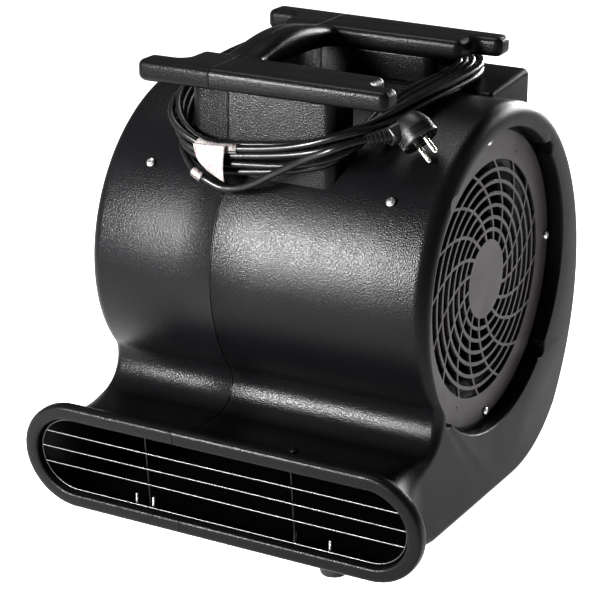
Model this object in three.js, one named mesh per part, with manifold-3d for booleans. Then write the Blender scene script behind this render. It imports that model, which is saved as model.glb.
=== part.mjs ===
// Air mover: a radial blower with a snail-shaped moulded housing, an inlet grille on each side, a low wide
// outlet at the front and two stacking bars with a grip on top. Its cord is wound round the bars' pedestals.
// Millimetres, +Z up, +X to the machine's right, the outlet faces -Y. The machine is drawn about the fan
// axis (along X, through Y = 0, Z = 0) and moved at the end, so that Z = 0 is the floor under its middle.
import * as THREE from "three";
import { mergeVertices } from "three/addons/utils/BufferGeometryUtils.js";
import Module from "manifold-3d";

const wasm = await Module();
wasm.setup();

const radians = THREE.MathUtils.degToRad;

// Driving dimensions
const GAP = 0.3; // kept between pieces that touch
const WALL = 5;
const FOOT_HEIGHT = 16;

const BODY_HALF = 180; // half the housing's width
const BAND_HALF = 152; // the middle band of the housing; the side mouldings close it
const RIM_ROUND = 14;
const SCROLL_START = 214; // degrees round the fan axis from the rear, where the scroll leaves the tongue
const SCROLL_END = -50;
const SCROLL_STEPS = 20;
const SCROLL_RADIUS = 168;
const SCROLL_GROWTH = 66;
const SCROLL_POWER = 3.9;
const TONGUE_DIP = 12; // the drum is this much smaller at the tongue
const TONGUE_FADE = 8;
const BASE_Z = -222;
const BASE_REAR_Y = 45;
const DUCT_TOP_Z = -126;
const DUCT_END_Y = -212;
const TONGUE_Y = -152; // where the duct's top starts to curve up into the drum

const OUTLET_Y = -232; // centre of the outlet's front face
const OUTLET_Z = -168;
const OUTLET_TILT = radians(6);
const FLANGE_THICK = 12;
const FLANGE_HALF = 215;
const FLANGE_RADIUS = 55;
const MOUTH_HALF = 200.5;
const MOUTH_RADIUS = 40.5;
const DUCT_HALF = 210;
const DUCT_RADIUS = 51;

const INLET_X = 165; // outer face of each grille
const RECESS_RADIUS = 148;
const LOBE_RADIUS = 9; // round pockets in the wall of each recess
const LOBE_PLACE = 146;
const LOBE_DEGREES = [45, 135, 225, 315];
const SHELF_BORE = 120;
const GRILLE_RADIUS = 144;
const GRILLE_THICK = 3;
const SHELF_X = INLET_X - GRILLE_THICK; // outer face of the shelf that a grille lies on
const SLOT_OUTER = 116;
const HUB_DISC_RADIUS = 35;
const SLOT_ROWS = 7;
const SLOT_COLUMNS = 16;
const GRILLE_RIB = 3.3;
const SPOKE_SWEEP = radians(40);
const GRILLE_SCREW_RADIUS = 138;
const GRILLE_SCREW_PHASE = radians(2);

const BAR_FRONT_Y = -166;
const BAR_REAR_Y = 106;
const BAR_DEPTH = 65;
const BAR_LOW_Z = 194;
const BAR_THICK = 22;
const BAR_LEFT_X = -120;
const BAR_RIGHT_X = 138;
const BAR_DRAFT = 0.0009; // share of its section that a bar loses for each millimetre from the grip
const HORN_DEPTH = 30;
const WIDE_LEFT_X = -84;
const WIDE_RIGHT_X = 110;
const GRIP_X = -43; // the mould's parting line runs over the grip
const GRIP_WIDTH = 38;
const GRIP_THICK = 28;
const GRIP_RISE = 11;
const PEDESTALS = {
  front: { left: -85, right: 69, near: -128, far: -83 },
  rear: { left: -72, right: 80, near: 49, far: 91 },
};
const PEDESTAL_CORNER = 12;

const BOX_HALF = 145;
const BOX_WALL = 4;
const BOX_FRONT_Y = 42;
const BOX_FRONT_Z = 169;
const BOX_REAR_Y = 132;
const BOX_TOP_Z = 176;
const PANEL_HALF = 139;
const PANEL_LOW_Z = 147;
const PANEL_TOP_Z = 171;
const PANEL_MIDDLE_Z = (PANEL_LOW_Z + PANEL_TOP_Z) / 2;
const PANEL_THICK = 3;
const PANEL_FRONT_Y = BOX_REAR_Y - 1;
const PANEL_SCREW_X = 133;
const KNOB_X = -70;
const KNOB_STEM_RADIUS = 5;
const BUTTON_X = -15;
const BUTTON_RADIUS = 6;
const GLAND_X = 70;
const GLAND_RADIUS = 8;
const GLAND_LENGTH = 24;
const BLOCK_DEPTH = 17;
const BLOCK_HEIGHT = 18;

const WHEEL_RADIUS = 130;
const WHEEL_INNER = 107;
const WHEEL_HALF = 122;
const BLADES = 26;
const BLADE_THICK = 1.8;
const SHAFT_RADIUS = 6;
const HUB_RADIUS = 20;
const MOTOR_RADIUS = 58;
const MOTOR_RIGHT_X = -24;
const MOUNT_DISC_RADIUS = 44;
const MOUNT_X = -149; // right face of the mount's disc
const MOUNT_THICK = 5;
const MOUNT_ARM_INNER = 30;
const MOUNT_ARM_OUTER = 114;
const MOUNT_ARM_DEGREES = [90, 210, 330];
const MOTOR_BOLT_RADIUS = 34;
const MOTOR_BOLT_DEGREES = [30, 150, 270];
const CAPACITOR_RADIUS = 15;
const CAPACITOR_PLACE = 76; // below the fan axis
const CAPACITOR_LENGTH = 66;

const WIRE_RADIUS = 1.0;
const HEAD_RADIUS = 4.6;
const SHANK_RADIUS = 2;
const HOLE_RADIUS = 2.4;
const DRUM_SCREWS = { left: { x: -128, degrees: 140.7 }, right: { x: 128, degrees: 140.7 } };
const DUCT_SCREW = { x: 74, y: -211, z: -118 };
const FEET = {
  front_left: [-103, -181],
  front_right: [109, -198],
  rear_left: [-120, 24],
  rear_right: [120, 24],
};

const GUARD_HALF = 198;
const GUARD_RADIUS = 38;
const GUARD_BACK = 7; // of the guard's wires behind the outlet's face
const GUARD_CROSS_UPS = [21, 4, -13];
const GUARD_UPRIGHT_XS = [-78, 80];
const GUARD_PIN_XS = [-101, -82, 74, 111];
const GUARD_PIN_Y = -208;
const GUARD_PIN_TOP_Z = -201;

const CORD_RADIUS = 3.5;
const PLUG_PLACE = new THREE.Vector3(144, -103, 158.5); // middle of its face
const PLUG_PINS = new THREE.Vector3(0.74, -0.16, -0.66); // the way its pins point
const PLUG_CORD = new THREE.Vector3(0.43, 0.86, 0.27); // the way the cord runs into it
const PLUG_RADIUS = 18.5;
const PLUG_CORD_UP = 18; // of the cord's way in above the face
const PIN_SPACING = 19;
const PIN_LENGTH = 19;
const RELIEF_LENGTH = 27;
const RELIEF_TILT = radians(15);

// Materials
function paint(color, roughness, metalness = 0) {
  return new THREE.MeshStandardMaterial({ color, roughness, metalness });
}

const housingPlastic = paint(0x17181a, 0.45);
const grillePlastic = paint(0x5c5558, 0.6);
const zincSteel = paint(0xb9babb, 0.3, 0.9);
const footRubber = paint(0x101011, 0.8);
const cordSkin = paint(0x0c0c0d, 0.35);
const wheelPlastic = paint(0x222326, 0.5);
const motorCasting = paint(0x3b3d40, 0.5, 0.6);
const pinMetal = paint(0xc9c2b0, 0.25, 0.9);
const buttonRed = paint(0xa01c18, 0.4);

// Booleans on closed geometries
function toSolid(geometry) {
  const bare = geometry.index ? geometry.toNonIndexed() : geometry.clone();
  bare.deleteAttribute("normal");
  bare.deleteAttribute("uv");
  const merged = mergeVertices(bare, 1e-4);
  const corners = merged.index.array;
  const triVerts = [];
  for (let i = 0; i < corners.length; i += 3) {
    const [a, b, c] = [corners[i], corners[i + 1], corners[i + 2]];
    if (a !== b && b !== c && c !== a) triVerts.push(a, b, c);
  }
  const surface = {
    numProp: 3,
    vertProperties: merged.attributes.position.array,
    triVerts: new Uint32Array(triVerts),
  };
  return new wasm.Manifold(new wasm.Mesh(surface));
}

function toGeometry(solid) {
  const { vertProperties, triVerts } = solid.getMesh();
  const geometry = new THREE.BufferGeometry();
  geometry.setAttribute("position", new THREE.BufferAttribute(vertProperties, 3));
  geometry.setIndex(new THREE.BufferAttribute(triVerts, 1));
  return geometry;
}

function join(...geometries) {
  return toGeometry(geometries.map(toSolid).reduce((sum, solid) => sum.add(solid)));
}

function cut(geometry, ...tools) {
  return toGeometry(tools.map(toSolid).reduce((rest, tool) => rest.subtract(tool), toSolid(geometry)));
}

function common(first, second) {
  return toGeometry(toSolid(first).intersect(toSolid(second)));
}

function mirrored(side, geometry) {
  return side > 0 ? geometry : toGeometry(toSolid(geometry).scale([-1, 1, 1]));
}

// Shapes
const yzPlane = new THREE.Matrix4().makeBasis(
  new THREE.Vector3(0, 1, 0),
  new THREE.Vector3(0, 0, 1),
  new THREE.Vector3(1, 0, 0),
);

function polar(radius, angle) {
  return [radius * Math.cos(angle), radius * Math.sin(angle)];
}

function extrude(shape, depth, round, roundSteps, curveSegments) {
  return new THREE.ExtrudeGeometry(shape, {
    depth: depth - 2 * round,
    curveSegments,
    bevelEnabled: round > 0,
    bevelSize: round,
    bevelOffset: -round,
    bevelThickness: round,
    bevelSegments: roundSteps,
  }).translate(0, 0, round);
}

// A (Y, Z) outline swept along X, with its end edges rounded.
function extrudeX(shape, left, right, round = 0, roundSteps = 3) {
  return extrude(shape, right - left, round, roundSteps, 6).applyMatrix4(yzPlane).translate(left, 0, 0);
}

// An (X, Y) outline swept upwards, with its end edges rounded.
function extrudeZ(shape, low, high, round = 0, roundSteps = 3, curveSegments = 4) {
  return extrude(shape, high - low, round, roundSteps, curveSegments).translate(0, 0, low);
}

// A profile of [radius, x] pairs turned about the fan axis. It closes on itself or on the axis.
function turnX(profile, segments) {
  const outline = profile.map(([radius, x]) => new THREE.Vector2(radius, x));
  if (THREE.ShapeUtils.area(outline) < 0) outline.reverse();
  if (profile.every(([radius]) => radius > 0)) outline.push(outline[0].clone());
  const turned = new THREE.LatheGeometry(outline, segments).rotateZ(-Math.PI / 2);
  return toGeometry(toSolid(turned));
}

function turnZ(profile, segments) {
  return turnX(profile, segments).rotateY(-Math.PI / 2);
}

function turnY(profile, segments) {
  return turnX(profile, segments).rotateZ(Math.PI / 2);
}

function box(width, depth, height, x, y, z) {
  return new THREE.BoxGeometry(width, depth, height).translate(x, y, z);
}

function rodX(radius, left, right, y, z, sides = 16) {
  const rod = new THREE.CylinderGeometry(radius, radius, right - left, sides).rotateZ(Math.PI / 2);
  return rod.translate((left + right) / 2, y, z);
}

function rodY(radius, near, far, x, z, sides = 16) {
  return new THREE.CylinderGeometry(radius, radius, far - near, sides).translate(x, (near + far) / 2, z);
}

function rodZ(radius, low, high, x, y, sides = 16) {
  const rod = new THREE.CylinderGeometry(radius, radius, high - low, sides).rotateX(Math.PI / 2);
  return rod.translate(x, y, (low + high) / 2);
}

function skinIndex(ringCount, count, closed) {
  const index = [];
  const total = ringCount * count;
  for (let ring = 0; ring < (closed ? total : total - count); ring += count) {
    const next = (ring + count) % total;
    for (let i = 0; i < count; i++) {
      const j = (i + 1) % count;
      index.push(ring + i, ring + j, next + j, ring + i, next + j, next + i);
    }
  }
  for (let i = 1; !closed && i + 1 < count; i++) {
    index.push(0, i + 1, i, total - count, total - count + i, total - count + i + 1);
  }
  return index;
}

// Skins a row of convex rings with equal numbers of points. An open row gets an end at each side.
function loft(rings, closed = false) {
  const geometry = new THREE.BufferGeometry();
  const positions = rings.flat().flatMap((point) => point.toArray());
  geometry.setAttribute("position", new THREE.Float32BufferAttribute(positions, 3));
  geometry.setIndex(skinIndex(rings.length, rings[0].length, closed));
  if (toSolid(geometry).volume() < 0) geometry.setIndex([...geometry.index.array].reverse());
  return geometry;
}

// A round tube along a smooth line through points.
function tube(points, radius, sides, steps) {
  const section = new THREE.Shape(
    Array.from({ length: sides }, (_, i) => new THREE.Vector2(...polar(radius, (2 * Math.PI * i) / sides))),
  );
  const line = points.map((point) => new THREE.Vector3(...point));
  const extrudePath = new THREE.CatmullRomCurve3(line, false, "centripetal");
  return new THREE.ExtrudeGeometry(section, { steps, extrudePath, bevelEnabled: false });
}

// Housing
function scrollPoint(degrees, inset) {
  const share = (SCROLL_START - degrees) / (SCROLL_START - SCROLL_END);
  const dip = TONGUE_DIP * (1 - share) ** TONGUE_FADE;
  const radius = SCROLL_RADIUS + SCROLL_GROWTH * share ** SCROLL_POWER - dip - inset;
  return new THREE.Vector2(...polar(radius, radians(degrees)));
}

// The side outline of the scroll and its duct, moved inwards by inset.
function scrollShape(inset) {
  const shape = new THREE.Shape();
  const start = scrollPoint(SCROLL_START, inset);
  const end = scrollPoint(SCROLL_END, inset);
  shape.moveTo(start.x, start.y);
  for (let k = 1; k <= SCROLL_STEPS; k++) {
    const point = scrollPoint(THREE.MathUtils.lerp(SCROLL_START, SCROLL_END, k / SCROLL_STEPS), inset);
    shape.lineTo(point.x, point.y);
  }
  const base = BASE_Z + inset;
  const top = DUCT_TOP_Z - inset;
  shape.quadraticCurveTo(end.x - 42, base, BASE_REAR_Y, base);
  shape.lineTo(DUCT_END_Y, base);
  shape.lineTo(DUCT_END_Y, top);
  shape.lineTo(TONGUE_Y + inset, top);
  shape.bezierCurveTo(TONGUE_Y + 19 + inset, top, start.x + 9, start.y - 17, start.x, start.y);
  return shape;
}

// A point in the outlet's frame: forward is out of the mouth, and the face leans down by OUTLET_TILT.
function outletPoint(x, up, forward) {
  const [cos, sin] = polar(1, OUTLET_TILT);
  return new THREE.Vector3(x, OUTLET_Y - forward * cos - up * sin, OUTLET_Z - forward * sin + up * cos);
}

// A ring of the duct at a station: a rounded rectangle, moved inwards by inset.
function ductRing({ middle, half, rise, corner, tilt }, inset) {
  const ring = [];
  for (let quarter = 0; quarter < 4; quarter++) {
    const sideX = quarter === 0 || quarter === 3 ? 1 : -1;
    const sideZ = quarter < 2 ? 1 : -1;
    for (let step = 0; step <= 4; step++) {
      const [across, along] = polar(corner - inset, ((quarter + step / 4) * Math.PI) / 2);
      const up = sideZ * (rise - corner) + along;
      const x = sideX * (half - corner) + across;
      ring.push(new THREE.Vector3(x, middle.y - up * Math.sin(tilt), middle.z + up * Math.cos(tilt)));
    }
  }
  return ring;
}

// The duct widens from the scroll to the mouth, and ends at a distance forward of the outlet's face.
function duct(inset, forward) {
  const z = (DUCT_TOP_Z + BASE_Z) / 2;
  const rise = (DUCT_TOP_Z - BASE_Z) / 2;
  const stations = [
    { middle: { y: -140, z }, half: BODY_HALF - 1, rise: rise - 0.5, corner: 22, tilt: 0 },
    { middle: { y: -168, z }, half: BODY_HALF + 0.5, rise, corner: 26, tilt: 0 },
    { middle: { y: -188, z }, half: BODY_HALF + 6, rise, corner: 34, tilt: OUTLET_TILT / 2 },
    { middle: { y: -204, z: z + 1 }, half: BODY_HALF + 17, rise, corner: 43, tilt: OUTLET_TILT },
  ];
  const mouth = { half: DUCT_HALF, rise: DUCT_RADIUS + 0.1, corner: DUCT_RADIUS, tilt: OUTLET_TILT };
  stations.push({ middle: outletPoint(0, 0, forward), ...mouth });
  return loft(stations.map((station) => ductRing(station, inset)));
}

function hull(inset, roundSteps, forward) {
  const half = BODY_HALF - inset;
  return join(extrudeX(scrollShape(inset), -half, half, RIM_ROUND - inset, roundSteps), duct(inset, forward));
}

const grilleScrewAngles = [0, 1, 2, 3].map((k) => GRILLE_SCREW_PHASE + (k * Math.PI) / 2);
const shell = cut(hull(0, 2, -FLANGE_THICK - GAP), hull(WALL, 1, 10));
const drumKeepOut = hull(-GAP, 2, -FLANGE_THICK);

function screwHoles(left, right) {
  return grilleScrewAngles.map((angle) =>
    rodX(HOLE_RADIUS, left, right, ...polar(GRILLE_SCREW_RADIUS, angle), 6),
  );
}

function lobes(radius, left, right) {
  return LOBE_DEGREES.map((degrees) => rodX(radius, left, right, ...polar(LOBE_PLACE, radians(degrees)), 12));
}

// One side of the housing: its rounded rim, the flat cheek, and the recess with the shelf of the grille.
function sideMoulding(side) {
  const cupRadius = RECESS_RADIUS + WALL;
  const cup = join(
    rodX(cupRadius, SHELF_X - WALL, BODY_HALF - 0.5, 0, 0, 40),
    ...lobes(LOBE_RADIUS + WALL, SHELF_X - WALL, BODY_HALF - 0.5),
  );
  const recess = join(rodX(RECESS_RADIUS, SHELF_X, 200, 0, 0, 40), ...lobes(LOBE_RADIUS, SHELF_X, 200));
  const bore = rodX(SHELF_BORE, 100, 200, 0, 0, 32);
  const bored = cut(cup, recess, bore, ...screwHoles(SHELF_X - 12, SHELF_X + 4));
  const cheek = common(shell, box(100, 700, 700, BAND_HALF + 50, 0, 0));
  const opening = join(rodX(cupRadius - 1, 100, 200, 0, 0, 40), ...lobes(LOBE_RADIUS + WALL - 1, 100, 200));
  return mirrored(side, join(cut(cheek, opening), bored));
}

// Turns a piece that points along -Z from its seat at z = 0 to sit on the drum.
function onDrum(geometry, { x, degrees }) {
  const seat = scrollPoint(degrees, 0).length();
  return geometry.translate(x, 0, seat).rotateX(radians(degrees - 90));
}

function scrollBand() {
  const middle = common(shell, box(2 * (BAND_HALF - GAP), 700, 700, 0, 0, 0));
  const drumHoles = Object.values(DRUM_SCREWS).map((place) =>
    onDrum(rodZ(HOLE_RADIUS, -20, 20, 0, 0, 8), place),
  );
  const ductHole = rodZ(HOLE_RADIUS, DUCT_TOP_Z - 20, DUCT_TOP_Z + 20, DUCT_SCREW.x, DUCT_SCREW.y, 8);
  const pinHoles = GUARD_PIN_XS.map((x) => rodZ(HOLE_RADIUS, BASE_Z - 5, BASE_Z + 30, x, GUARD_PIN_Y, 8));
  return cut(middle, ...drumHoles, ductHole, ...pinHoles);
}

function outletSlab(half, radius, front, back, round) {
  const shape = new THREE.Shape();
  shape.absarc(half - radius, 0, radius, -Math.PI / 2, Math.PI / 2);
  shape.absarc(radius - half, 0, radius, Math.PI / 2, (3 * Math.PI) / 2);
  const slab = extrudeZ(shape, -back, -front, round, 1, 12);
  return slab.rotateX(Math.PI / 2 + OUTLET_TILT).translate(0, OUTLET_Y, OUTLET_Z);
}

function outletFlange() {
  const collar = outletSlab(FLANGE_HALF, FLANGE_RADIUS, 0, FLANGE_THICK, 2.5);
  return cut(collar, outletSlab(MOUTH_HALF, MOUTH_RADIUS, -5, FLANGE_THICK + 5, 0));
}

// Bars, grip and pedestals
// A bar's plan: two horns on its outer edge and a wide part that reaches inwards (inward is 1 or -1).
function barShape(edge, inward) {
  const horn = edge + inward * HORN_DEPTH;
  const shape = new THREE.Shape();
  shape.moveTo(BAR_LEFT_X, edge);
  shape.lineTo(BAR_RIGHT_X, edge);
  shape.lineTo(BAR_RIGHT_X, horn);
  shape.lineTo(WIDE_RIGHT_X + 10, horn);
  shape.quadraticCurveTo(WIDE_RIGHT_X, horn, WIDE_RIGHT_X, horn + inward * 10);
  shape.lineTo(WIDE_RIGHT_X, edge + inward * BAR_DEPTH);
  shape.lineTo(WIDE_LEFT_X, edge + inward * BAR_DEPTH);
  shape.lineTo(WIDE_LEFT_X, horn + inward * 10);
  shape.quadraticCurveTo(WIDE_LEFT_X, horn, WIDE_LEFT_X - 10, horn);
  shape.lineTo(BAR_LEFT_X, horn);
  return shape;
}

function bar(edge, inward) {
  const slab = extrudeZ(barShape(edge, inward), BAR_LOW_Z, BAR_LOW_Z + BAR_THICK, 7, 3, 3);
  const middle = { y: edge + (inward * BAR_DEPTH) / 2, z: BAR_LOW_Z + BAR_THICK / 2 };
  const position = slab.getAttribute("position");
  for (let i = 0; i < position.count; i++) {
    const keep = 1 - BAR_DRAFT * Math.abs(position.getX(i) - GRIP_X);
    position.setY(i, middle.y + (position.getY(i) - middle.y) * keep);
    position.setZ(i, middle.z + (position.getZ(i) - middle.z) * keep);
  }
  return slab;
}

// Squares up a circle's coordinate into a rounded rectangle's.
function squared(value) {
  return Math.sign(value) * Math.sqrt(Math.abs(value));
}

function gripRing(share, sides) {
  const near = BAR_FRONT_Y + BAR_DEPTH + GAP;
  const far = BAR_REAR_Y - BAR_DEPTH - GAP;
  const y = THREE.MathUtils.lerp(near, far, share);
  const half = GRIP_THICK / 2 - 4 * (1 - Math.sin(Math.PI * share));
  const middle = BAR_LOW_Z + BAR_THICK - 1 - half + GRIP_RISE * Math.sin(Math.PI * share);
  return Array.from({ length: sides }, (_, i) => {
    const [across, up] = polar(1, (2 * Math.PI * i) / sides).map(squared);
    return new THREE.Vector3(GRIP_X + (GRIP_WIDTH / 2) * across, y, middle + half * up);
  });
}

function carryGrip() {
  const steps = 10;
  return loft(Array.from({ length: steps + 1 }, (_, k) => gripRing(k / steps, 16)));
}

function roundedRectangle(left, right, near, far, corner) {
  const shape = new THREE.Shape();
  shape.absarc(right - corner, far - corner, corner, 0, Math.PI / 2);
  shape.absarc(left + corner, far - corner, corner, Math.PI / 2, Math.PI);
  shape.absarc(left + corner, near + corner, corner, Math.PI, (3 * Math.PI) / 2);
  shape.absarc(right - corner, near + corner, corner, (3 * Math.PI) / 2, 2 * Math.PI);
  return shape;
}

function pedestal({ left, right, near, far }, ...keepOuts) {
  const shape = roundedRectangle(left, right, near, far, PEDESTAL_CORNER);
  return cut(extrudeZ(shape, 60, BAR_LOW_Z - GAP), drumKeepOut, ...keepOuts);
}

// Control box: a wedge that fills the corner over the rear of the drum, with the panel in its rear wall
function boxShape(outset) {
  return new THREE.Shape([
    new THREE.Vector2(BOX_FRONT_Y - 2 * outset, 100),
    new THREE.Vector2(BOX_FRONT_Y - 2 * outset, BOX_FRONT_Z + outset),
    new THREE.Vector2(BOX_REAR_Y - 4, BOX_TOP_Z + outset),
    new THREE.Vector2(BOX_REAR_Y + outset, BOX_TOP_Z - 4 + outset),
    new THREE.Vector2(BOX_REAR_Y + outset, 100),
  ]);
}

function controlBox() {
  const block = extrudeX(boxShape(0), -BOX_HALF, BOX_HALF, 4, 2);
  const room = box(2 * (PANEL_HALF + GAP), 60, 200, 0, BOX_REAR_Y - 20, PANEL_TOP_Z + GAP - 100);
  const hollow = cut(block, drumKeepOut, cut(room, hull(-BOX_WALL, 2, -40)));
  const panelBack = PANEL_FRONT_Y - PANEL_THICK - GAP;
  const lugs = [-1, 1].map((side) => {
    const lug = box(14, 12, 26, side * (PANEL_HALF - 4), panelBack - 6, PANEL_TOP_Z - 11);
    const hole = rodY(HOLE_RADIUS, 90, 140, side * PANEL_SCREW_X, PANEL_MIDDLE_Z, 8);
    return cut(lug, hole, hull(-BOX_WALL + 1, 2, -40));
  });
  return join(hollow, ...lugs);
}

function controlPanel() {
  const middleY = PANEL_FRONT_Y - PANEL_THICK / 2;
  const plate = box(2 * PANEL_HALF, PANEL_THICK, PANEL_TOP_Z - PANEL_LOW_Z, 0, middleY, PANEL_MIDDLE_Z);
  const hole = (radius, x, sides) => rodY(radius, 100, 160, x, PANEL_MIDDLE_Z, sides);
  return cut(
    plate,
    hole(KNOB_STEM_RADIUS + GAP, KNOB_X, 16),
    hole(BUTTON_RADIUS + GAP, BUTTON_X, 16),
    hole(GLAND_RADIUS + GAP, GLAND_X, 16),
    hole(HOLE_RADIUS, -PANEL_SCREW_X, 8),
    hole(HOLE_RADIUS, PANEL_SCREW_X, 8),
  );
}

// Inlets
function slotShape(row, column) {
  const pitch = (SLOT_OUTER - HUB_DISC_RADIUS) / SLOT_ROWS;
  const outer = SLOT_OUTER - row * pitch;
  const turn = (2 * Math.PI) / SLOT_COLUMNS;
  const shares = row < 1 ? [0, 0.5, 1] : [0, 1];
  const arc = (radius) =>
    shares.map((share) => {
      const sweep = (SPOKE_SWEEP * (radius - HUB_DISC_RADIUS)) / (SLOT_OUTER - HUB_DISC_RADIUS);
      const rib = GRILLE_RIB / 2 / radius;
      const angle = column * turn + sweep + THREE.MathUtils.lerp(rib, turn - rib, share);
      return new THREE.Vector2(...polar(radius, angle));
    });
  return new THREE.Path([...arc(outer), ...arc(outer - pitch + GRILLE_RIB).reverse()]);
}

function inletGrille(side) {
  const disc = new THREE.Shape();
  disc.absarc(0, 0, GRILLE_RADIUS, 0, 2 * Math.PI);
  for (let row = 0; row < SLOT_ROWS; row++) {
    for (let column = 0; column < SLOT_COLUMNS; column++) disc.holes.push(slotShape(row, column));
  }
  const plate = extrude(disc, GRILLE_THICK - GAP, 0, 1, 24).applyMatrix4(yzPlane);
  plate.translate(SHELF_X + GAP, 0, 0);
  return mirrored(side, cut(plate, ...screwHoles(SHELF_X - 5, SHELF_X + 10)));
}

// The flared ring behind a shelf that leads the air from the shelf's bore into the wheel.
function bellMouth() {
  const back = SHELF_X - WALL - GAP;
  const ring = turnX(
    [
      [143, back],
      [143, back - 3],
      [122, back - 3],
      [115.5, back - 6],
      [109.5, back - 13],
      [107, back - 22],
      [107, WHEEL_HALF + 2],
      [104.5, WHEEL_HALF + 2],
      [104.5, back - 22],
      [107, back - 12],
      [113, back - 3.5],
      [119.5, back],
    ],
    26,
  );
  return cut(ring, ...screwHoles(back - 10, back + 10));
}

// Fan
function blade() {
  const steps = 2;
  const face = (side) =>
    Array.from({ length: steps + 1 }, (_, k) => {
      const share = k / steps;
      const radius = THREE.MathUtils.lerp(WHEEL_INNER, WHEEL_RADIUS - 0.5, share);
      const lean = -radians(12) * share ** 1.7;
      return new THREE.Vector2(...polar(radius, lean + (side * BLADE_THICK) / 2 / radius));
    });
  const shape = new THREE.Shape([...face(-1), ...face(1).reverse()]);
  return extrudeX(shape, 1 - WHEEL_HALF, WHEEL_HALF - 1);
}

function ringX(inner, outer, left, right, segments) {
  return turnX([[inner, left], [outer, left], [outer, right], [inner, right]], segments);
}

function impellerWheel() {
  const pieces = [
    ringX(WHEEL_INNER - 1, WHEEL_RADIUS, -WHEEL_HALF, 3 - WHEEL_HALF, 30),
    ringX(WHEEL_INNER - 1, WHEEL_RADIUS, WHEEL_HALF - 3, WHEEL_HALF, 30),
    ringX(HUB_RADIUS + GAP, WHEEL_RADIUS, -2, 2, 30),
  ];
  for (let k = 0; k < BLADES; k++) pieces.push(blade().rotateX((2 * Math.PI * k) / BLADES));
  return join(...pieces);
}

function impellerHub() {
  const bore = SHAFT_RADIUS + GAP;
  return turnX(
    [
      [bore, -18],
      [HUB_RADIUS, -18],
      [HUB_RADIUS, 2 + GAP],
      [34, 2 + GAP],
      [34, 6],
      [HUB_RADIUS - 2, 7],
      [HUB_RADIUS - 4, 18],
      [bore, 18],
    ],
    18,
  );
}

function motorBoltPlace(degrees) {
  return polar(MOTOR_BOLT_RADIUS, radians(degrees));
}

function motorBoltHoles() {
  return MOTOR_BOLT_DEGREES.map((degrees) =>
    rodX(HOLE_RADIUS, MOUNT_X - 10, MOUNT_X + 12, ...motorBoltPlace(degrees), 8),
  );
}

function motorBody() {
  const left = MOUNT_X + GAP;
  const bore = SHAFT_RADIUS + GAP;
  const casing = turnX(
    [
      [0, left],
      [MOTOR_RADIUS - 8, left],
      [MOTOR_RADIUS, left + 8],
      [MOTOR_RADIUS, MOTOR_RIGHT_X - 16],
      [MOTOR_RADIUS - 14, MOTOR_RIGHT_X - 4],
      [18, MOTOR_RIGHT_X - 4],
      [16, MOTOR_RIGHT_X],
      [bore, MOTOR_RIGHT_X],
      [bore, MOTOR_RIGHT_X - 80],
      [0, MOTOR_RIGHT_X - 80],
    ],
    24,
  );
  return cut(casing, ...motorBoltHoles());
}

// The left bell mouth carries the motor on three arms and a disc, and the capacitor on a bracket.
function motorMount() {
  const disc = rodX(MOUNT_DISC_RADIUS, MOUNT_X - MOUNT_THICK, MOUNT_X, 0, 0, 24);
  const reachOut = (width, far) => {
    const length = far - MOUNT_ARM_INNER;
    return box(MOUNT_THICK, length, width, MOUNT_X - MOUNT_THICK / 2, MOUNT_ARM_INNER + length / 2, 0);
  };
  const arms = MOUNT_ARM_DEGREES.map((degrees) => reachOut(16, MOUNT_ARM_OUTER).rotateX(radians(degrees)));
  const bracket = reachOut(26, CAPACITOR_PLACE).rotateX(-Math.PI / 2);
  return cut(join(mirrored(-1, bellMouth()), disc, ...arms, bracket), ...motorBoltHoles());
}

function runCapacitor() {
  const left = MOUNT_X + GAP;
  const right = left + CAPACITOR_LENGTH;
  const can = turnX(
    [
      [0, left],
      [CAPACITOR_RADIUS, left],
      [CAPACITOR_RADIUS, right - 2],
      [CAPACITOR_RADIUS - 2, right],
      [0, right],
    ],
    20,
  );
  return can.translate(0, 0, -CAPACITOR_PLACE);
}

// Outlet guard: a wire loop with three cross wires, and two uprights behind them
function guardWire(points, steps) {
  const line = points.map(([x, up, forward]) => outletPoint(x, up, forward - GUARD_BACK).toArray());
  return tube(line, WIRE_RADIUS, 6, steps);
}

function guardBend(side) {
  const line = Array.from({ length: 9 }, (_, k) => {
    const [x, up] = polar(GUARD_RADIUS, ((k - 4) * Math.PI) / 8);
    return [side * (GUARD_HALF - GUARD_RADIUS + x), up, 0];
  });
  return guardWire(line, 10);
}

function outletGuard() {
  const straight = GUARD_HALF - GUARD_RADIUS + 0.5;
  const pieces = [guardBend(-1), guardBend(1)];
  for (const up of [-GUARD_RADIUS, GUARD_RADIUS]) {
    pieces.push(guardWire([[-straight, up, 0], [straight, up, 0]], 1));
  }
  for (const up of GUARD_CROSS_UPS) {
    const reach = GUARD_HALF - GUARD_RADIUS + Math.sqrt(GUARD_RADIUS ** 2 - up ** 2);
    pieces.push(guardWire([[-reach, up, 0], [reach, up, 0]], 1));
  }
  for (const x of GUARD_UPRIGHT_XS) {
    const back = -1.5 * WIRE_RADIUS;
    pieces.push(guardWire([[x, -GUARD_RADIUS, back], [x, GUARD_RADIUS, back]], 1));
  }
  return join(...pieces);
}

// A pin through the duct's floor that keeps the guard from being pushed in.
function guardPin() {
  const low = BASE_Z + 2.5;
  const top = GUARD_PIN_TOP_Z;
  return turnZ([[0, low], [SHANK_RADIUS, low], [SHANK_RADIUS, top], [0, top + 1.5]], 8);
}

// Fasteners and feet
// A screw with a domed head, standing up from its seat at z = 0.
function screw(shank) {
  return turnZ(
    [
      [0, -shank],
      [SHANK_RADIUS, -shank],
      [SHANK_RADIUS, GAP],
      [HEAD_RADIUS, GAP],
      [HEAD_RADIUS * 0.75, 2.6],
      [0, 3.3],
    ],
    8,
  );
}

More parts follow.
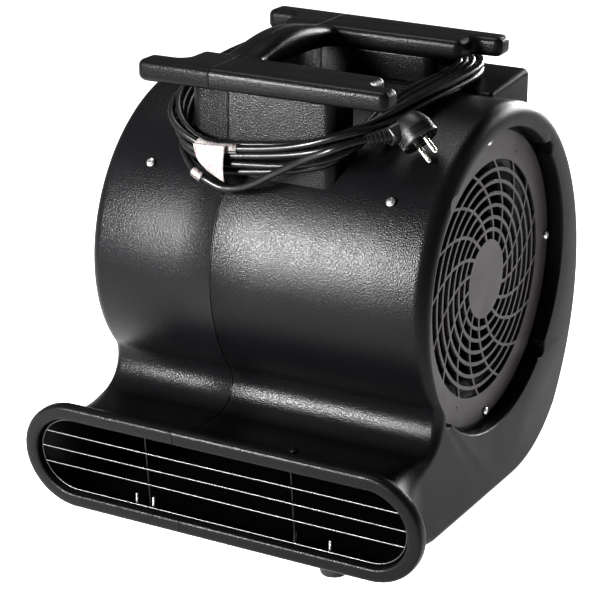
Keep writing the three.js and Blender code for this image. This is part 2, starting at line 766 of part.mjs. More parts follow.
function foot() {
  const floor = BASE_Z - FOOT_HEIGHT;
  return turnZ(
    [
      [0, floor],
      [11, floor],
      [13, floor + 2],
      [14.5, BASE_Z - GAP],
      [0, BASE_Z - GAP],
    ],
    20,
  );
}

// Controls
function speedKnob() {
  const front = PANEL_FRONT_Y;
  const grip = turnY(
    [
      [0, front - PANEL_THICK - 4],
      [KNOB_STEM_RADIUS, front - PANEL_THICK - 4],
      [KNOB_STEM_RADIUS, front + 1],
      [11, front + 1],
      [11, front + 4],
      [9.5, front + 15],
      [8.5, front + 16],
      [0, front + 16],
    ],
    24,
  );
  const pointer = box(3, 13, 10, 0, front + 10.5, 6);
  return join(grip, pointer);
}

function resetButton() {
  const front = PANEL_FRONT_Y;
  return turnY(
    [
      [0, front - PANEL_THICK - 3],
      [BUTTON_RADIUS, front - PANEL_THICK - 3],
      [BUTTON_RADIUS, front + 4],
      [BUTTON_RADIUS - 1, front + 5],
      [0, front + 5],
    ],
    16,
  );
}

// A block behind the panel, with a blind bore for the control's shaft.
function controlBlock(x, width, boreRadius, boreDepth) {
  const front = PANEL_FRONT_Y - PANEL_THICK - GAP;
  const block = box(width, BLOCK_DEPTH, BLOCK_HEIGHT, x, front - BLOCK_DEPTH / 2, PANEL_MIDDLE_Z);
  return cut(block, rodY(boreRadius, front - boreDepth, front + 5, x, PANEL_MIDDLE_Z, 16));
}

function cordGland() {
  const front = PANEL_FRONT_Y;
  const bore = CORD_RADIUS + GAP;
  return turnY(
    [
      [bore, front - 12],
      [GLAND_RADIUS, front - 12],
      [GLAND_RADIUS, front + GAP],
      [10.5, front + GAP],
      [10.5, front + 5],
      [7.5, front + 7],
      [5, front + GLAND_LENGTH],
      [bore, front + GLAND_LENGTH],
    ],
    16,
  );
}

// Cord: a lead from the gland, a coil round both pedestals, and a tail with the plug
const coilLine = [
  // [x, y, z, half width, half height], anticlockwise seen from above, from the front left
  [-60, -139, 124, 8, 17.5],
  [-20, -138.5, 127, 8, 17.5],
  [20, -138.5, 132, 8, 17.5],
  [54, -137.5, 140, 8, 17],
  [80, -127, 151, 9, 13],
  [92, -100, 162, 12, 9.5],
  [101, -60, 175, 14, 8],
  [108, -10, 181, 14.5, 7.6],
  [110, 40, 182.5, 14.5, 7.6],
  [106, 80, 184, 14.5, 7.6],
  [84, 104, 183.5, 14, 7.6],
  [40, 108, 183.5, 14, 7.6],
  [-40, 108, 183.5, 14, 7.6],
  [-84, 104, 183.5, 14, 7.6],
  [-106, 80, 184, 14.5, 7.6],
  [-110, 40, 182.5, 14.5, 7.6],
  [-110, -10, 181, 14.5, 7.6],
  [-109, -60, 175, 14, 8],
  [-105, -104, 159, 12, 11],
  [-91, -132, 138, 9, 16],
];

function coilRings(steps) {
  const middles = new THREE.CatmullRomCurve3(
    coilLine.map(([x, y, z]) => new THREE.Vector3(x, y, z)),
    true,
  );
  const halves = new THREE.CatmullRomCurve3(
    coilLine.map(([, , , wide, high]) => new THREE.Vector3(wide, high, 0)),
    true,
  );
  const up = new THREE.Vector3(0, 0, 1);
  return Array.from({ length: steps }, (_, k) => {
    const middle = middles.getPoint(k / steps);
    const half = halves.getPoint(k / steps);
    const out = middles.getTangent(k / steps).setZ(0).normalize().cross(up);
    return Array.from({ length: 8 }, (__, i) => {
      const [across, along] = polar(1, (2 * Math.PI * (i + 0.5)) / 8).map(squared);
      return middle.clone().addScaledVector(out, half.x * across).addScaledVector(up, half.y * along);
    });
  });
}

const tailLine = [
  [-68, -150.5, 114],
  [-53, -151, 106],
  [-34, -151.5, 101],
  [-8, -152.5, 107],
  [24, -154.5, 125],
  [54, -158, 142],
  [82, -159, 155],
  [98, -147.8, 161.5],
];

const leadLine = [
  [66, 180, 161],
  [55, 191, 166],
  [40, 194, 171],
  [24, 188, 177],
  [13, 174, 181.5],
  [6, 155, 184.5],
  [-5, 138, 185.5],
  [-20, 129, 185],
  [-34, 125.4, 184.2],
];

function cordStretch(points) {
  return tube(points, CORD_RADIUS, 8, 20);
}

// Plug: in its own frame the face looks along -Z, and the cord comes in along +X
function plugFrame() {
  const back = PLUG_PINS.clone().negate().normalize();
  const side = back.clone().cross(PLUG_CORD).normalize();
  const along = side.clone().cross(back);
  return new THREE.Matrix4().makeBasis(along, side, back).setPosition(PLUG_PLACE);
}

function plugReliefEnd() {
  const [along, up] = polar(RELIEF_LENGTH + 2 * GAP, RELIEF_TILT);
  return new THREE.Vector3(-PLUG_RADIUS - along, 0, PLUG_CORD_UP + up).applyMatrix4(plugFrame());
}

function plugBody() {
  const head = turnZ([[0, 0], [PLUG_RADIUS, 0], [PLUG_RADIUS, 11], [15, 24], [10, 27], [0, 27]], 24);
  const neck = box(18, 18, 16, 4 - PLUG_RADIUS, 0, PLUG_CORD_UP - 2);
  const relief = turnX([[0, -RELIEF_LENGTH], [5, -RELIEF_LENGTH], [8, 0], [8, 8], [0, 8]], 12);
  relief.rotateY(RELIEF_TILT).translate(-PLUG_RADIUS, 0, PLUG_CORD_UP);
  return join(head, neck, relief).applyMatrix4(plugFrame());
}

function plugPin(side) {
  const tip = -PIN_LENGTH;
  const pin = turnZ([[0, tip], [1.6, tip], [2.4, tip + 1.5], [2.4, -GAP], [0, -GAP]], 12);
  return pin.translate(0, (side * PIN_SPACING) / 2, 0).applyMatrix4(plugFrame());
}

// Assembly
const airMover = new THREE.Group();
const machine = new THREE.Group();

function add(name, geometry, material) {
  const bare = geometry.index ? geometry.toNonIndexed() : geometry;
  bare.computeVertexNormals();
  const mesh = new THREE.Mesh(bare, material.clone());
  mesh.name = name;
  machine.add(mesh);
  return mesh;
}

add("housing_scroll", scrollBand(), housingPlastic);
add("housing_side_right", sideMoulding(1), housingPlastic);
add("housing_side_left", sideMoulding(-1), housingPlastic);
add("outlet_flange", outletFlange(), housingPlastic);
add("front_bar", bar(BAR_FRONT_Y, 1), housingPlastic);
add("rear_bar", bar(BAR_REAR_Y, -1), housingPlastic);
add("carry_grip", carryGrip(), housingPlastic);
add("front_pedestal", pedestal(PEDESTALS.front), housingPlastic);
const boxKeepOut = extrudeX(boxShape(GAP), -BOX_HALF - GAP, BOX_HALF + GAP);
add("rear_pedestal", pedestal(PEDESTALS.rear, boxKeepOut), housingPlastic);
add("control_box", controlBox(), housingPlastic);
add("control_panel", controlPanel(), grillePlastic);

for (const [name, side] of [["right", 1], ["left", -1]]) {
  add(`inlet_grille_${name}`, inletGrille(side), grillePlastic);
  grilleScrewAngles.forEach((angle, k) => {
    const mesh = add(`grille_screw_${name}_${k + 1}`, screw(12.5), zincSteel);
    mesh.position.set(side * INLET_X, ...polar(GRILLE_SCREW_RADIUS, angle));
    mesh.rotation.y = (side * Math.PI) / 2;
  });
}
add("bell_mouth_right", bellMouth(), wheelPlastic);
add("motor_mount", motorMount(), wheelPlastic);
add("motor_body", motorBody(), motorCasting);
add("run_capacitor", runCapacitor(), zincSteel);
MOTOR_BOLT_DEGREES.forEach((degrees, k) => {
  const mesh = add(`motor_bolt_${k + 1}`, screw(14), zincSteel);
  mesh.position.set(MOUNT_X - MOUNT_THICK, ...motorBoltPlace(degrees));
  mesh.rotation.y = -Math.PI / 2;
});
add("motor_shaft", rodX(SHAFT_RADIUS, MOTOR_RIGHT_X - 79, 24, 0, 0, 18), zincSteel);
add("impeller_hub", impellerHub(), motorCasting);
add("impeller_wheel", impellerWheel(), wheelPlastic);
add("outlet_guard", outletGuard(), zincSteel);
GUARD_PIN_XS.forEach((x, k) => {
  add(`guard_pin_${k + 1}`, guardPin(), zincSteel).position.set(x, GUARD_PIN_Y, 0);
});

for (const [name, place] of Object.entries(DRUM_SCREWS)) {
  add(`drum_screw_${name}`, onDrum(screw(9), place), zincSteel);
}
add("duct_screw", screw(9), zincSteel).position.set(DUCT_SCREW.x, DUCT_SCREW.y, DUCT_SCREW.z);
for (const [name, [x, y]] of Object.entries(FEET)) {
  add(`foot_${name}`, foot(), footRubber).position.set(x, y, 0);
}
add("speed_knob", speedKnob(), housingPlastic).position.set(KNOB_X, 0, PANEL_MIDDLE_Z);
add("reset_button", resetButton(), buttonRed).position.set(BUTTON_X, 0, PANEL_MIDDLE_Z);
add("speed_switch", controlBlock(KNOB_X, 24, KNOB_STEM_RADIUS + GAP, 4), wheelPlastic);
add("circuit_breaker", controlBlock(BUTTON_X, 18, BUTTON_RADIUS + GAP, 7), wheelPlastic);
add("cord_gland", cordGland(), cordSkin).position.set(GLAND_X, 0, PANEL_MIDDLE_Z);
for (const [name, side] of [["left", -1], ["right", 1]]) {
  const mesh = add(`panel_screw_${name}`, screw(12), zincSteel);
  mesh.position.set(side * PANEL_SCREW_X, PANEL_FRONT_Y, PANEL_MIDDLE_Z);
  mesh.rotation.x = -Math.PI / 2;
}

// The origin is under the middle of the machine without its cord.
const machineBox = new THREE.Box3().setFromObject(machine);
const middle = machineBox.getCenter(new THREE.Vector3());
machine.position.set(-middle.x, -middle.y, -machineBox.min.z);
airMover.add(machine);

const glandEnd = [GLAND_X, PANEL_FRONT_Y + GLAND_LENGTH + GAP, PANEL_MIDDLE_Z];
const leadStart = [glandEnd, [GLAND_X, glandEnd[1] + 8, PANEL_MIDDLE_Z]];
add("cord_lead", cordStretch([...leadStart, ...leadLine]), cordSkin);
add("cord_coil", loft(coilRings(36), true), cordSkin);
add("cord_tail", cordStretch([...tailLine, plugReliefEnd().toArray()]), cordSkin);
add("plug_body", plugBody(), cordSkin);
add("plug_pin_low", plugPin(1), pinMetal);
add("plug_pin_high", plugPin(-1), pinMetal);

export default airMover;
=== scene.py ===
import math

import bmesh
import bpy
from mathutils import Matrix, Vector


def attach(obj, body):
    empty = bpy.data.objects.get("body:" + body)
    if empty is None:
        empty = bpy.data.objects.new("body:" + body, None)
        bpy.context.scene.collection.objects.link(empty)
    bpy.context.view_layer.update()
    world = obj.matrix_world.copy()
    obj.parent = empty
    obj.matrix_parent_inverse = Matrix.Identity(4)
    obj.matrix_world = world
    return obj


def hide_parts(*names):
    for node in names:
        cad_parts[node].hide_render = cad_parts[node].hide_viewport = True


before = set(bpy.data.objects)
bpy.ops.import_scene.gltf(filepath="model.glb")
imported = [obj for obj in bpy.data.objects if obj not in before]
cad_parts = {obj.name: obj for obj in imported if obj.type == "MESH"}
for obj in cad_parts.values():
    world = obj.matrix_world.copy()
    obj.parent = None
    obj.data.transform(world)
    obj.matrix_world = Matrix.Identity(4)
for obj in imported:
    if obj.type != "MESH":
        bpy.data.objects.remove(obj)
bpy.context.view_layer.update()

MACHINE = "machine"

# The machine is drawn in millimetres about the fan axis, as the CAD is, and put in the frame by place().
SHIFT = Vector((0, 0.018903, 0.238))


def place(point):
    return Vector(point) * 0.001 + SHIFT


def lerp(a, b, t):
    return a + (b - a) * t


def clamp(t, low=0.0, high=1.0):
    return max(low, min(high, t))


def smooth(t):
    t = clamp(t)
    return t * t * (3 - 2 * t)


def polar(radius, angle):
    return radius * math.cos(angle), radius * math.sin(angle)


# Camera
camera = bpy.data.objects.new("camera", bpy.data.cameras.new("camera"))
bpy.context.scene.collection.objects.link(camera)
camera.location = (1.0057, -1.8271, 0.9484)
aim = Vector((-0.013, -0.027, 0.1995)) - camera.location
camera.rotation_euler = aim.to_track_quat("-Z", "Y").to_euler()
camera.data.lens = 134.9
camera.data.sensor_width = 36
bpy.context.scene.camera = camera


# Node materials
class Nodes:
    """A Principled material and short ways to wire nodes into it."""

    def __init__(self, name, metallic=0.0):
        self.made = bpy.data.materials.new(name)
        self.made.use_nodes = True
        self.tree = self.made.node_tree
        self.shader = self.tree.nodes["Principled BSDF"]
        self.shader.inputs["Metallic"].default_value = metallic
        self.where = self.tree.nodes.new("ShaderNodeTexCoord").outputs["Object"]
        self.heights = []

    def node(self, kind, values=(), **settings):
        node = self.tree.nodes.new("ShaderNode" + kind)
        for key, value in settings.items():
            setattr(node, key, value)
        for key, value in dict(values).items():
            if isinstance(value, bpy.types.NodeSocket):
                self.tree.links.new(value, node.inputs[key])
            else:
                node.inputs[key].default_value = value
        return node

    def math(self, operation, a, b=0.0, c=0.0):
        node = self.node("Math", {0: a, 1: b, 2: c}, operation=operation)
        return node.outputs[0]

    def noise(self, scale, detail=4.0, rough=0.55, where=None):
        values = {"Vector": where or self.where, "Scale": scale, "Detail": detail, "Roughness": rough}
        return self.node("TexNoise", values).outputs["Fac"]

    def cells(self, scale, feature="F1", smoothness=0.5):
        node = self.node("TexVoronoi", {"Vector": self.where, "Scale": scale}, feature=feature)
        if feature == "SMOOTH_F1":
            node.inputs["Smoothness"].default_value = smoothness
        return node.outputs["Distance"]

    def span(self, value, low, high, to_low, to_high):
        values = {"Value": value, 1: low, 2: high, 3: to_low, 4: to_high}
        return self.node("MapRange", values).outputs[0]

    def mix(self, share, a, b):
        node = self.node("Mix", {"Factor": share}, data_type="RGBA")
        for key, value in ((6, a), (7, b)):
            if isinstance(value, bpy.types.NodeSocket):
                self.tree.links.new(value, node.inputs[key])
            else:
                node.inputs[key].default_value = (*value, 1)
        return node.outputs[2]

    def bump(self, height, strength, distance):
        values = {"Height": height, "Strength": strength, "Distance": distance}
        if self.heights:
            values["Normal"] = self.heights[-1]
        self.heights.append(self.node("Bump", values).outputs["Normal"])

    def finish(self, color, roughness):
        links = self.tree.links
        links.new(color, self.shader.inputs["Base Color"])
        links.new(roughness, self.shader.inputs["Roughness"])
        if self.heights:
            links.new(self.heights[-1], self.shader.inputs["Normal"])
        return self.made


def shade(color, factor):
    return tuple(channel * factor for channel in color)


SEAM_SLOPE = 0.04  # how the two halves fall away from the parting line


def moulded(
    name, color, roughness, grain=900, depth=0.00025, strength=0.6, gloss=0.5, spread=0.06,
    cheek=0.0, seam=False,
):
    """Moulded plastic: a pebbled skin over slow waves, with scuffs.

    seam adds the line where the mould parts, its ridge lightened in colour as a painted highlight, with the
    two halves falling away from it. cheek is how much rougher the sides are than the rest, outside the
    radius between drum and side.
    """
    m = Nodes(name)
    if seam or cheek:
        x = m.node("SeparateXYZ", {0: m.where}).outputs["X"]
    m.shader.inputs["Specular IOR Level"].default_value = gloss
    cloud = m.noise(9, 5)
    scuff = m.noise(60, 8, 0.7)
    tint = m.mix(cloud, shade(color, 0.8), shade(color, 1.25))
    tint = m.mix(m.span(scuff, 0.62, 0.8, 0, 0.35), tint, shade(color, 1.7))
    rough = m.span(m.noise(35, 6, 0.65), 0.3, 0.7, roughness - spread, roughness + spread)
    pebbles = m.cells(grain, "SMOOTH_F1", 0.6)
    if cheek:
        side = m.span(m.math("ABSOLUTE", x), 0.168, 0.178, 0, 1)
        rough = m.math("ADD", rough, m.math("MULTIPLY", side, cheek))
        strength = m.span(side, 0, 1, strength, 0.3)
    m.bump(m.noise(9, 2, 0.4), 0.3, 0.0025)
    m.bump(pebbles, strength, depth)
    m.bump(m.noise(grain * 2.2, 3), 0.25, depth * 0.5)
    if seam:
        wander = m.span(m.noise(16, 1), 0, 1, 0.0424, 0.0436)  # the seam stands at x = -0.043
        away = m.math("ABSOLUTE", m.math("ADD", x, wander))
        ridge = m.span(away, 0.0003, 0.0011, 1, 0)
        m.bump(ridge, 1.0, 0.0012)
        m.bump(m.math("MULTIPLY", away, -SEAM_SLOPE), 1.0, 1.0)
        # painted highlight: the colour is lightened along the seam's ridge, where light would catch it
        tint = m.mix(m.math("MULTIPLY", ridge, 0.4), tint, shade(color, 2.4))
    return m.finish(tint, rough)


def metal(name, color, roughness, scratch=260):
    """Plated or cast metal with fine streaks along Y."""
    m = Nodes(name, 1.0)
    stretched = m.node("Mapping", {"Vector": m.where, "Scale": (1.0, 6.0, 1.0)}).outputs[0]
    streak = m.noise(scratch, 6, 0.6, stretched)
    tint = m.mix(m.noise(120, 4), shade(color, 0.75), color)
    m.bump(streak, 0.2, 0.0001)
    return m.finish(tint, m.span(streak, 0.3, 0.7, roughness - 0.08, roughness + 0.12))


def rubber(name, color, roughness, grain=700, depth=0.00012):
    """Rubber or soft PVC with a fine grain and a cloudy sheen."""
    m = Nodes(name)
    m.shader.inputs["Specular IOR Level"].default_value = 0.3
    tint = m.mix(m.noise(30, 5), shade(color, 0.75), shade(color, 1.5))
    m.bump(m.noise(grain, 4), 0.4, depth)
    return m.finish(tint, m.span(m.noise(80, 5), 0.3, 0.7, roughness - 0.07, roughness + 0.1))


def paper(name):
    """White label film with faint ruled lines in place of any print."""
    m = Nodes(name)
    across = m.node("Mapping", {"Vector": m.where, "Rotation": (0.0, 0.35, 0.0)}).outputs[0]
    rows = m.node("TexWave", {"Vector": across, "Scale": 95.0, "Distortion": 0.4}, wave_type="BANDS")
    rows.bands_direction = "X"
    lines = m.span(rows.outputs["Fac"], 0.62, 0.78, 0, 1)
    broken = m.math("MULTIPLY", lines, m.span(m.noise(260, 2), 0.42, 0.55, 0, 1))
    tint = m.mix(m.noise(90, 3), (0.15, 0.147, 0.144), (0.19, 0.187, 0.184))
    tint = m.mix(m.math("MULTIPLY", broken, 0.7), tint, (0.1, 0.02, 0.018))
    m.bump(m.noise(55, 3), 0.3, 0.0012)
    return m.finish(tint, m.span(m.noise(150, 3), 0.3, 0.7, 0.38, 0.52))


BLACK = (0.005, 0.0051, 0.0056)
HOUSING = moulded("housing_skin", BLACK, 0.29, 850, 0.00038, seam=True, cheek=0.12, spread=0.02, gloss=0.16)
BAR_SKIN = moulded("bar_skin", BLACK, 0.32, 850, 0.00038, seam=True, spread=0.03, gloss=0.14, strength=0.5)
BOX_SKIN = moulded("box_skin", BLACK, 0.38, 850, 0.00035, spread=0.02, gloss=0.1, strength=0.4)
GRILLE = moulded("grille_paint", (0.052, 0.045, 0.048), 0.42, grain=1500, depth=0.00006, gloss=0.3)
FAN = moulded("fan_plastic_skin", (0.014, 0.0145, 0.016), 0.5, grain=1200, depth=0.0001)
KNOB = moulded("knob_skin", (0.015, 0.015, 0.016), 0.4, grain=1400, depth=0.00006)
BUTTON = moulded("button_skin", (0.36, 0.02, 0.016), 0.35, grain=1400, depth=0.00005)
PANEL = moulded("panel_skin", (0.03, 0.029, 0.03), 0.45, grain=1300, depth=0.00006)
ALLOY = metal("motor_casting", (0.22, 0.225, 0.23), 0.5, 500)
ZINC = metal("zinc_plate", (0.62, 0.62, 0.6), 0.3)
WIRE = metal("wire_plate", (0.075, 0.075, 0.075), 0.4)
PIN = metal("nickel_pin", (0.74, 0.72, 0.68), 0.18)
DARK_WIRE = metal("dark_wire", (0.03, 0.03, 0.03), 0.45)
STUD = metal("stud_steel", (0.3, 0.3, 0.29), 0.45)
FOOT = rubber("foot_skin", (0.012, 0.012, 0.012), 0.75)
CORD = rubber("cord_skin", (0.006, 0.006, 0.0064), 0.3, 900, 0.00004)
PLUG = rubber("plug_skin", (0.01, 0.01, 0.0105), 0.36, 1100, 0.00008)
PAPER = paper("label_paper")
INK = moulded("scale_ink", (0.7, 0.7, 0.68), 0.5, grain=1500, depth=0.00003)


# Meshes
def show(obj, material, body=MACHINE, replaced=(), angle=38):
    """Gives a made object its material, its shading and its body."""
    obj.data.materials.clear()
    obj.data.materials.append(material)
    if obj.type == "MESH":
        obj.data.shade_smooth()
        obj.data.set_sharp_from_angle(angle=math.radians(angle))
    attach(obj, body)
    if replaced:
        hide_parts(*replaced)
    return obj


def add_object(name, data):
    made = bpy.data.objects.new(name, data)
    bpy.context.scene.collection.objects.link(made)
    return made


def split_caps(mesh):
    """Splits many-sided faces, as a cut through the middle of one would be filled again."""
    caps = [face for face in mesh.faces if len(face.verts) > 4]
    bmesh.ops.triangulate(mesh, faces=caps)


def evaluated_mesh(obj):
    """The mesh that an object comes to with its modifiers, or as a curve with its bevel."""
    bpy.context.view_layer.update()
    return bpy.data.meshes.new_from_object(obj.evaluated_get(bpy.context.evaluated_depsgraph_get()))


def mesh_of_curve(name, curve):
    drawn = add_object(name + "_line", curve)
    mesh = evaluated_mesh(drawn)
    bpy.data.objects.remove(drawn)
    return mesh


def mesh_object(name, points, faces, to_frame=place):
    mesh = bpy.data.meshes.new(name)
    mesh.from_pydata([to_frame(point) for point in points], [], faces)
    tidy = bmesh.new()
    tidy.from_mesh(mesh)
    bmesh.ops.remove_doubles(tidy, verts=tidy.verts, dist=1e-6)
    bmesh.ops.recalc_face_normals(tidy, faces=tidy.faces)
    split_caps(tidy)
    tidy.to_mesh(mesh)
    tidy.free()
    return add_object(name, mesh)


def cut_away(obj, tool, keep=False):
    modifier = obj.modifiers.new("cut", "BOOLEAN")
    modifier.object = tool
    modifier.operation = "DIFFERENCE"
    modifier.solver = "MANIFOLD"
    cut = evaluated_mesh(obj)
    faces = bmesh.new()
    faces.from_mesh(cut)
    split_caps(faces)
    faces.to_mesh(cut)
    faces.free()
    obj.modifiers.clear()
    obj.data = cut
    if not keep:
        bpy.data.objects.remove(tool)


def merge(name, objects):
    """One object from several meshes, which may pass through each other."""
    joined = bmesh.new()
    for obj in objects:
        joined.from_mesh(obj.data)
        bpy.data.objects.remove(obj)
    mesh = bpy.data.meshes.new(name)
    joined.to_mesh(mesh)
    joined.free()
    return add_object(name, mesh)


def grid_faces(rows, columns, closed=False):
    """Four-sided faces over points listed row by row; closed joins each row's end to its start."""
    faces = []
    for row in range(rows - 1):
        low, high = row * columns, (row + 1) * columns
        for column in range(columns if closed else columns - 1):
            after = (column + 1) % columns
            faces.append((low + column, low + after, high + after, high + column))
    return faces


def ring_of(radius, height, segments):
    return [(*polar(radius, 2 * math.pi * k / segments), height) for k in range(segments)]


def loft(name, rings, to_frame=place, closed_row=False):
    """Skins rings of equal length; the ends are closed unless the row closes on itself."""
    count = len(rings[0])
    points = [point for ring in rings for point in ring]
    if closed_row:
        points += rings[0]
        return mesh_object(name, points, grid_faces(len(rings) + 1, count, True), to_frame)
    faces = grid_faces(len(rings), count, True)
    faces.append(tuple(range(count)))
    faces.append(tuple(range(len(points) - count, len(points))))
    return mesh_object(name, points, faces, to_frame)


def lathe(name, profile, segments=48, to_frame=place):
    """A profile of (radius, height) pairs turned about Z. Its ends are closed."""
    return loft(name, [ring_of(radius, height, segments) for radius, height in profile], to_frame)


ARC_STEPS = 8


def rounded(corners):
    """A closed outline from (x, y, radius) corners, each rounded by an arc."""
    outline = []
    for i, (x, y, radius) in enumerate(corners):
        here = Vector((x, y))
        before = (Vector(corners[i - 1][:2]) - here).normalized()
        after = (Vector(corners[(i + 1) % len(corners)][:2]) - here).normalized()
        half = before.angle(after) / 2
        middle = here + (before + after).normalized() * radius / math.sin(half)
        start = here + before * radius / math.tan(half) - middle
        sweep = start.angle_signed(here + after * radius / math.tan(half) - middle)
        for k in range(ARC_STEPS + 1):
            turned = Matrix.Rotation(-sweep * k / ARC_STEPS, 2) @ start
            outline.append(middle + turned)
    return outline


def upright(p, height):
    return (p.x, p.y, height)


def inset_outline(outline, inset):
    """The outline moved inwards, whichever way round it runs. Doubled points are stepped over."""
    area = sum(a.x * b.y - b.x * a.y for a, b in zip(outline, outline[1:] + outline[:1]))
    turn = 1 if area > 0 else -1
    moved = []
    for i, point in enumerate(outline):
        ahead = outline[(i + 1) % len(outline)]
        if (ahead - point).length < 1e-6:
            ahead = outline[(i + 2) % len(outline)]
        behind = outline[i - 1]
        if (point - behind).length < 1e-6:
            behind = outline[i - 2]
        a, b = (point - behind).normalized(), (ahead - point).normalized()
        normal = Vector((-(a + b).y, (a + b).x)).normalized() * turn
        moved.append(point + normal * inset / max(0.5, normal.dot(Vector((-a.y, a.x)) * turn)))
    return moved


def prism(name, outline, low, high, round_low, round_high, to_point, to_frame=place):
    """An outline swept from low to high, with rounded end edges; to_point makes a 3-D point of it."""
    levels, steps = [], 6
    for k in range(steps + 1):
        angle = math.pi / 2 * k / steps
        levels.append((low + round_low * (1 - math.cos(angle)), round_low * (1 - math.sin(angle))))
    for k in range(steps + 1):
        angle = math.pi / 2 * (1 - k / steps)
        levels.append((high - round_high * (1 - math.cos(angle)), round_high * (1 - math.sin(angle))))
    rings = [[to_point(p, height) for p in inset_outline(outline, inset)] for height, inset in levels]
    return loft(name, rings, to_frame)


# Cord: up from the gland, seven and a third times round the pedestals, and the tail to the plug
CORD_RADIUS = 3.5
COIL_LINE = [
    # x, y, z, half width, of the winding's middle line, anticlockwise from above from the front left
    (-60, -139, 124, 8),
    (-20, -138.5, 127, 8),
    (20, -138.5, 132, 8),
    (54, -137.5, 140, 8),
    (80, -127, 151, 9),
    (92, -100, 162, 12),
    (101, -60, 175, 14),
    (108, -10, 181, 14.5),
    (110, 40, 182.5, 14.5),
    (106, 80, 184, 14.5),
    (84, 104, 183.5, 14.5),
    (40, 108, 183.5, 14.5),
    (-40, 108, 183.5, 14.5),
    (-84, 104, 183.5, 14.5),
    (-106, 80, 184, 14.5),
    (-110, 40, 182.5, 14.5),
    (-110, -10, 181, 14.5),
    (-109, -60, 175, 14),
    (-105, -104, 159, 12),
    (-91, -132, 138, 9),
]
TAIL_LINE = [
    (-68, -150.5, 114),
    (-53, -151, 106),
    (-34, -151.5, 101),
    (-8, -152.5, 107),
    (24, -154.5, 125),
    (54, -158, 142),
    (82, -159, 155),
    (98, -147.8, 161.5),
]
GLAND_END = (70, 155, 159)
LEAD_LINE = [
    GLAND_END,
    (70, 163.3, 159),
    (66, 180, 161),
    (55, 191, 166),
    (40, 194, 171),
    (24, 188, 177),
    (13, 174, 181.5),
    (6, 155, 184.5),
    (-5, 138, 185.5),
    (-20, 129, 185.5),
    (-34, 123.5, 186.5),
]
COIL_START = 0.615  # of the way round, where the lead joins at the rear
COIL_TURNS = 7.335
TURN_STEPS = 72
LEAD_STEPS, TAIL_STEPS = 60, 90
NARROW, WIDE = 8, 14.5  # half widths of the winding in front, two strands wide, and round the sides


def catmull(points, t, closed):
    """The point at share t of a Catmull-Rom line through equally weighted points."""
    count = len(points)
    at = t * (count if closed else count - 1)
    i = int(math.floor(at))
    if not closed:
        i = min(i, count - 2)
    u = at - i

    def pick(k):
        return points[k % count] if closed else points[max(0, min(count - 1, k))]

    a, b, c, d = (pick(i + k) for k in (-1, 0, 1, 2))
    made = []
    for p, q, r, s in zip(a, b, c, d):
        square, cube = 2 * p - 5 * q + 4 * r - s, 3 * q - p - 3 * r + s
        made.append(0.5 * (2 * q + (r - p) * u + square * u * u + cube * u * u * u))
    return made


def coil_slot(slot):
    """Offsets (outwards, upwards) of a turn's place at the front, where the winding is two wide."""
    row, column = slot // 2, slot % 2
    return (7.4 * (column - 0.5), 12.6 - 8.4 * row)


def coil_point(turn):
    """A point of the winding after so many turns from where the lead joins it."""
    share = (COIL_START + turn) % 1
    x, y, z, half = catmull(COIL_LINE, share, True)
    ahead = catmull(COIL_LINE, (share + 0.002) % 1, True)
    out = Vector((ahead[1] - y, x - ahead[0], 0)).normalized()
    moved = smooth((turn % 1) / 0.1)  # each turn steps to its next place on the hidden run at the rear
    lap = int(turn)
    before, after = coil_slot(max(0, lap - 1)), coil_slot(lap)
    wide, high = (lerp(before[i], after[i], moved) for i in (0, 1))
    spread = clamp((half - NARROW) / (WIDE - NARROW))
    swing = math.pi / 2 * spread  # the stack of strands lies down flat round the sides
    squeeze = lerp(1, 0.87, spread)
    phase = lap * 2.4
    wide += 0.7 * math.sin(2 * math.pi * 2 * share + phase)
    high = high * squeeze + 1.3 * math.sin(2 * math.pi * 3 * share + 1.7 * phase)
    across = math.cos(swing) * wide + math.sin(swing) * high
    up = -math.sin(swing) * wide + math.cos(swing) * high
    return Vector((x, y, z + up)) + out * across


# Plug frame: the face looks along -Z and the cord comes in from -X
PLUG_PLACE = Vector((144, -103, 158.5))
PLUG_PINS = Vector((0.74, -0.16, -0.66))
PLUG_CORD = Vector((0.43, 0.86, 0.27))
PLUG_RADIUS = 18.5
PLUG_CORD_UP = 18
RELIEF_LENGTH = 27
RELIEF_TILT = math.radians(15)
plug_back = (-PLUG_PINS).normalized()
plug_side = plug_back.cross(PLUG_CORD).normalized()
plug_along = plug_side.cross(plug_back)


def in_plug(point):
    x, y, z = point
    return place(PLUG_PLACE + plug_along * x + plug_side * y + plug_back * z)


def in_relief(point):
    """Along +Z out of the plug's strain relief."""
    x, y, z = point
    cos, sin = math.cos(RELIEF_TILT), math.sin(RELIEF_TILT)
    return in_plug((-PLUG_RADIUS - z * cos + x * sin, y, PLUG_CORD_UP + z * sin + x * cos))


def route():
    """The cord's points in the frame, from the gland to inside the plug's strain relief."""
    joined = [Vector(p) for p in LEAD_LINE[:-1]]
    turns = int(COIL_TURNS * TURN_STEPS)
    winding = [coil_point(k / TURN_STEPS) for k in range(2, turns + 1)]
    relief_end = (in_relief((0, 0, RELIEF_LENGTH - 6)) - SHIFT) * 1000
    tail = [Vector(p) for p in TAIL_LINE] + [relief_end]
    lead_line, tail_line = joined + winding[:1], winding[-1:] + tail
    lead = [Vector(catmull(lead_line, k / LEAD_STEPS, False)) for k in range(LEAD_STEPS)]
    last = [Vector(catmull(tail_line, k / TAIL_STEPS, False)) for k in range(1, TAIL_STEPS + 1)]
    line = lead + winding + last
    for _ in range(3):  # evens out the joints between the three stretches
        line = line[:1] + [(a + 2 * b + c) / 4 for a, b, c in zip(line, line[1:], line[2:])] + line[-1:]
    return [place(point) for point in line]


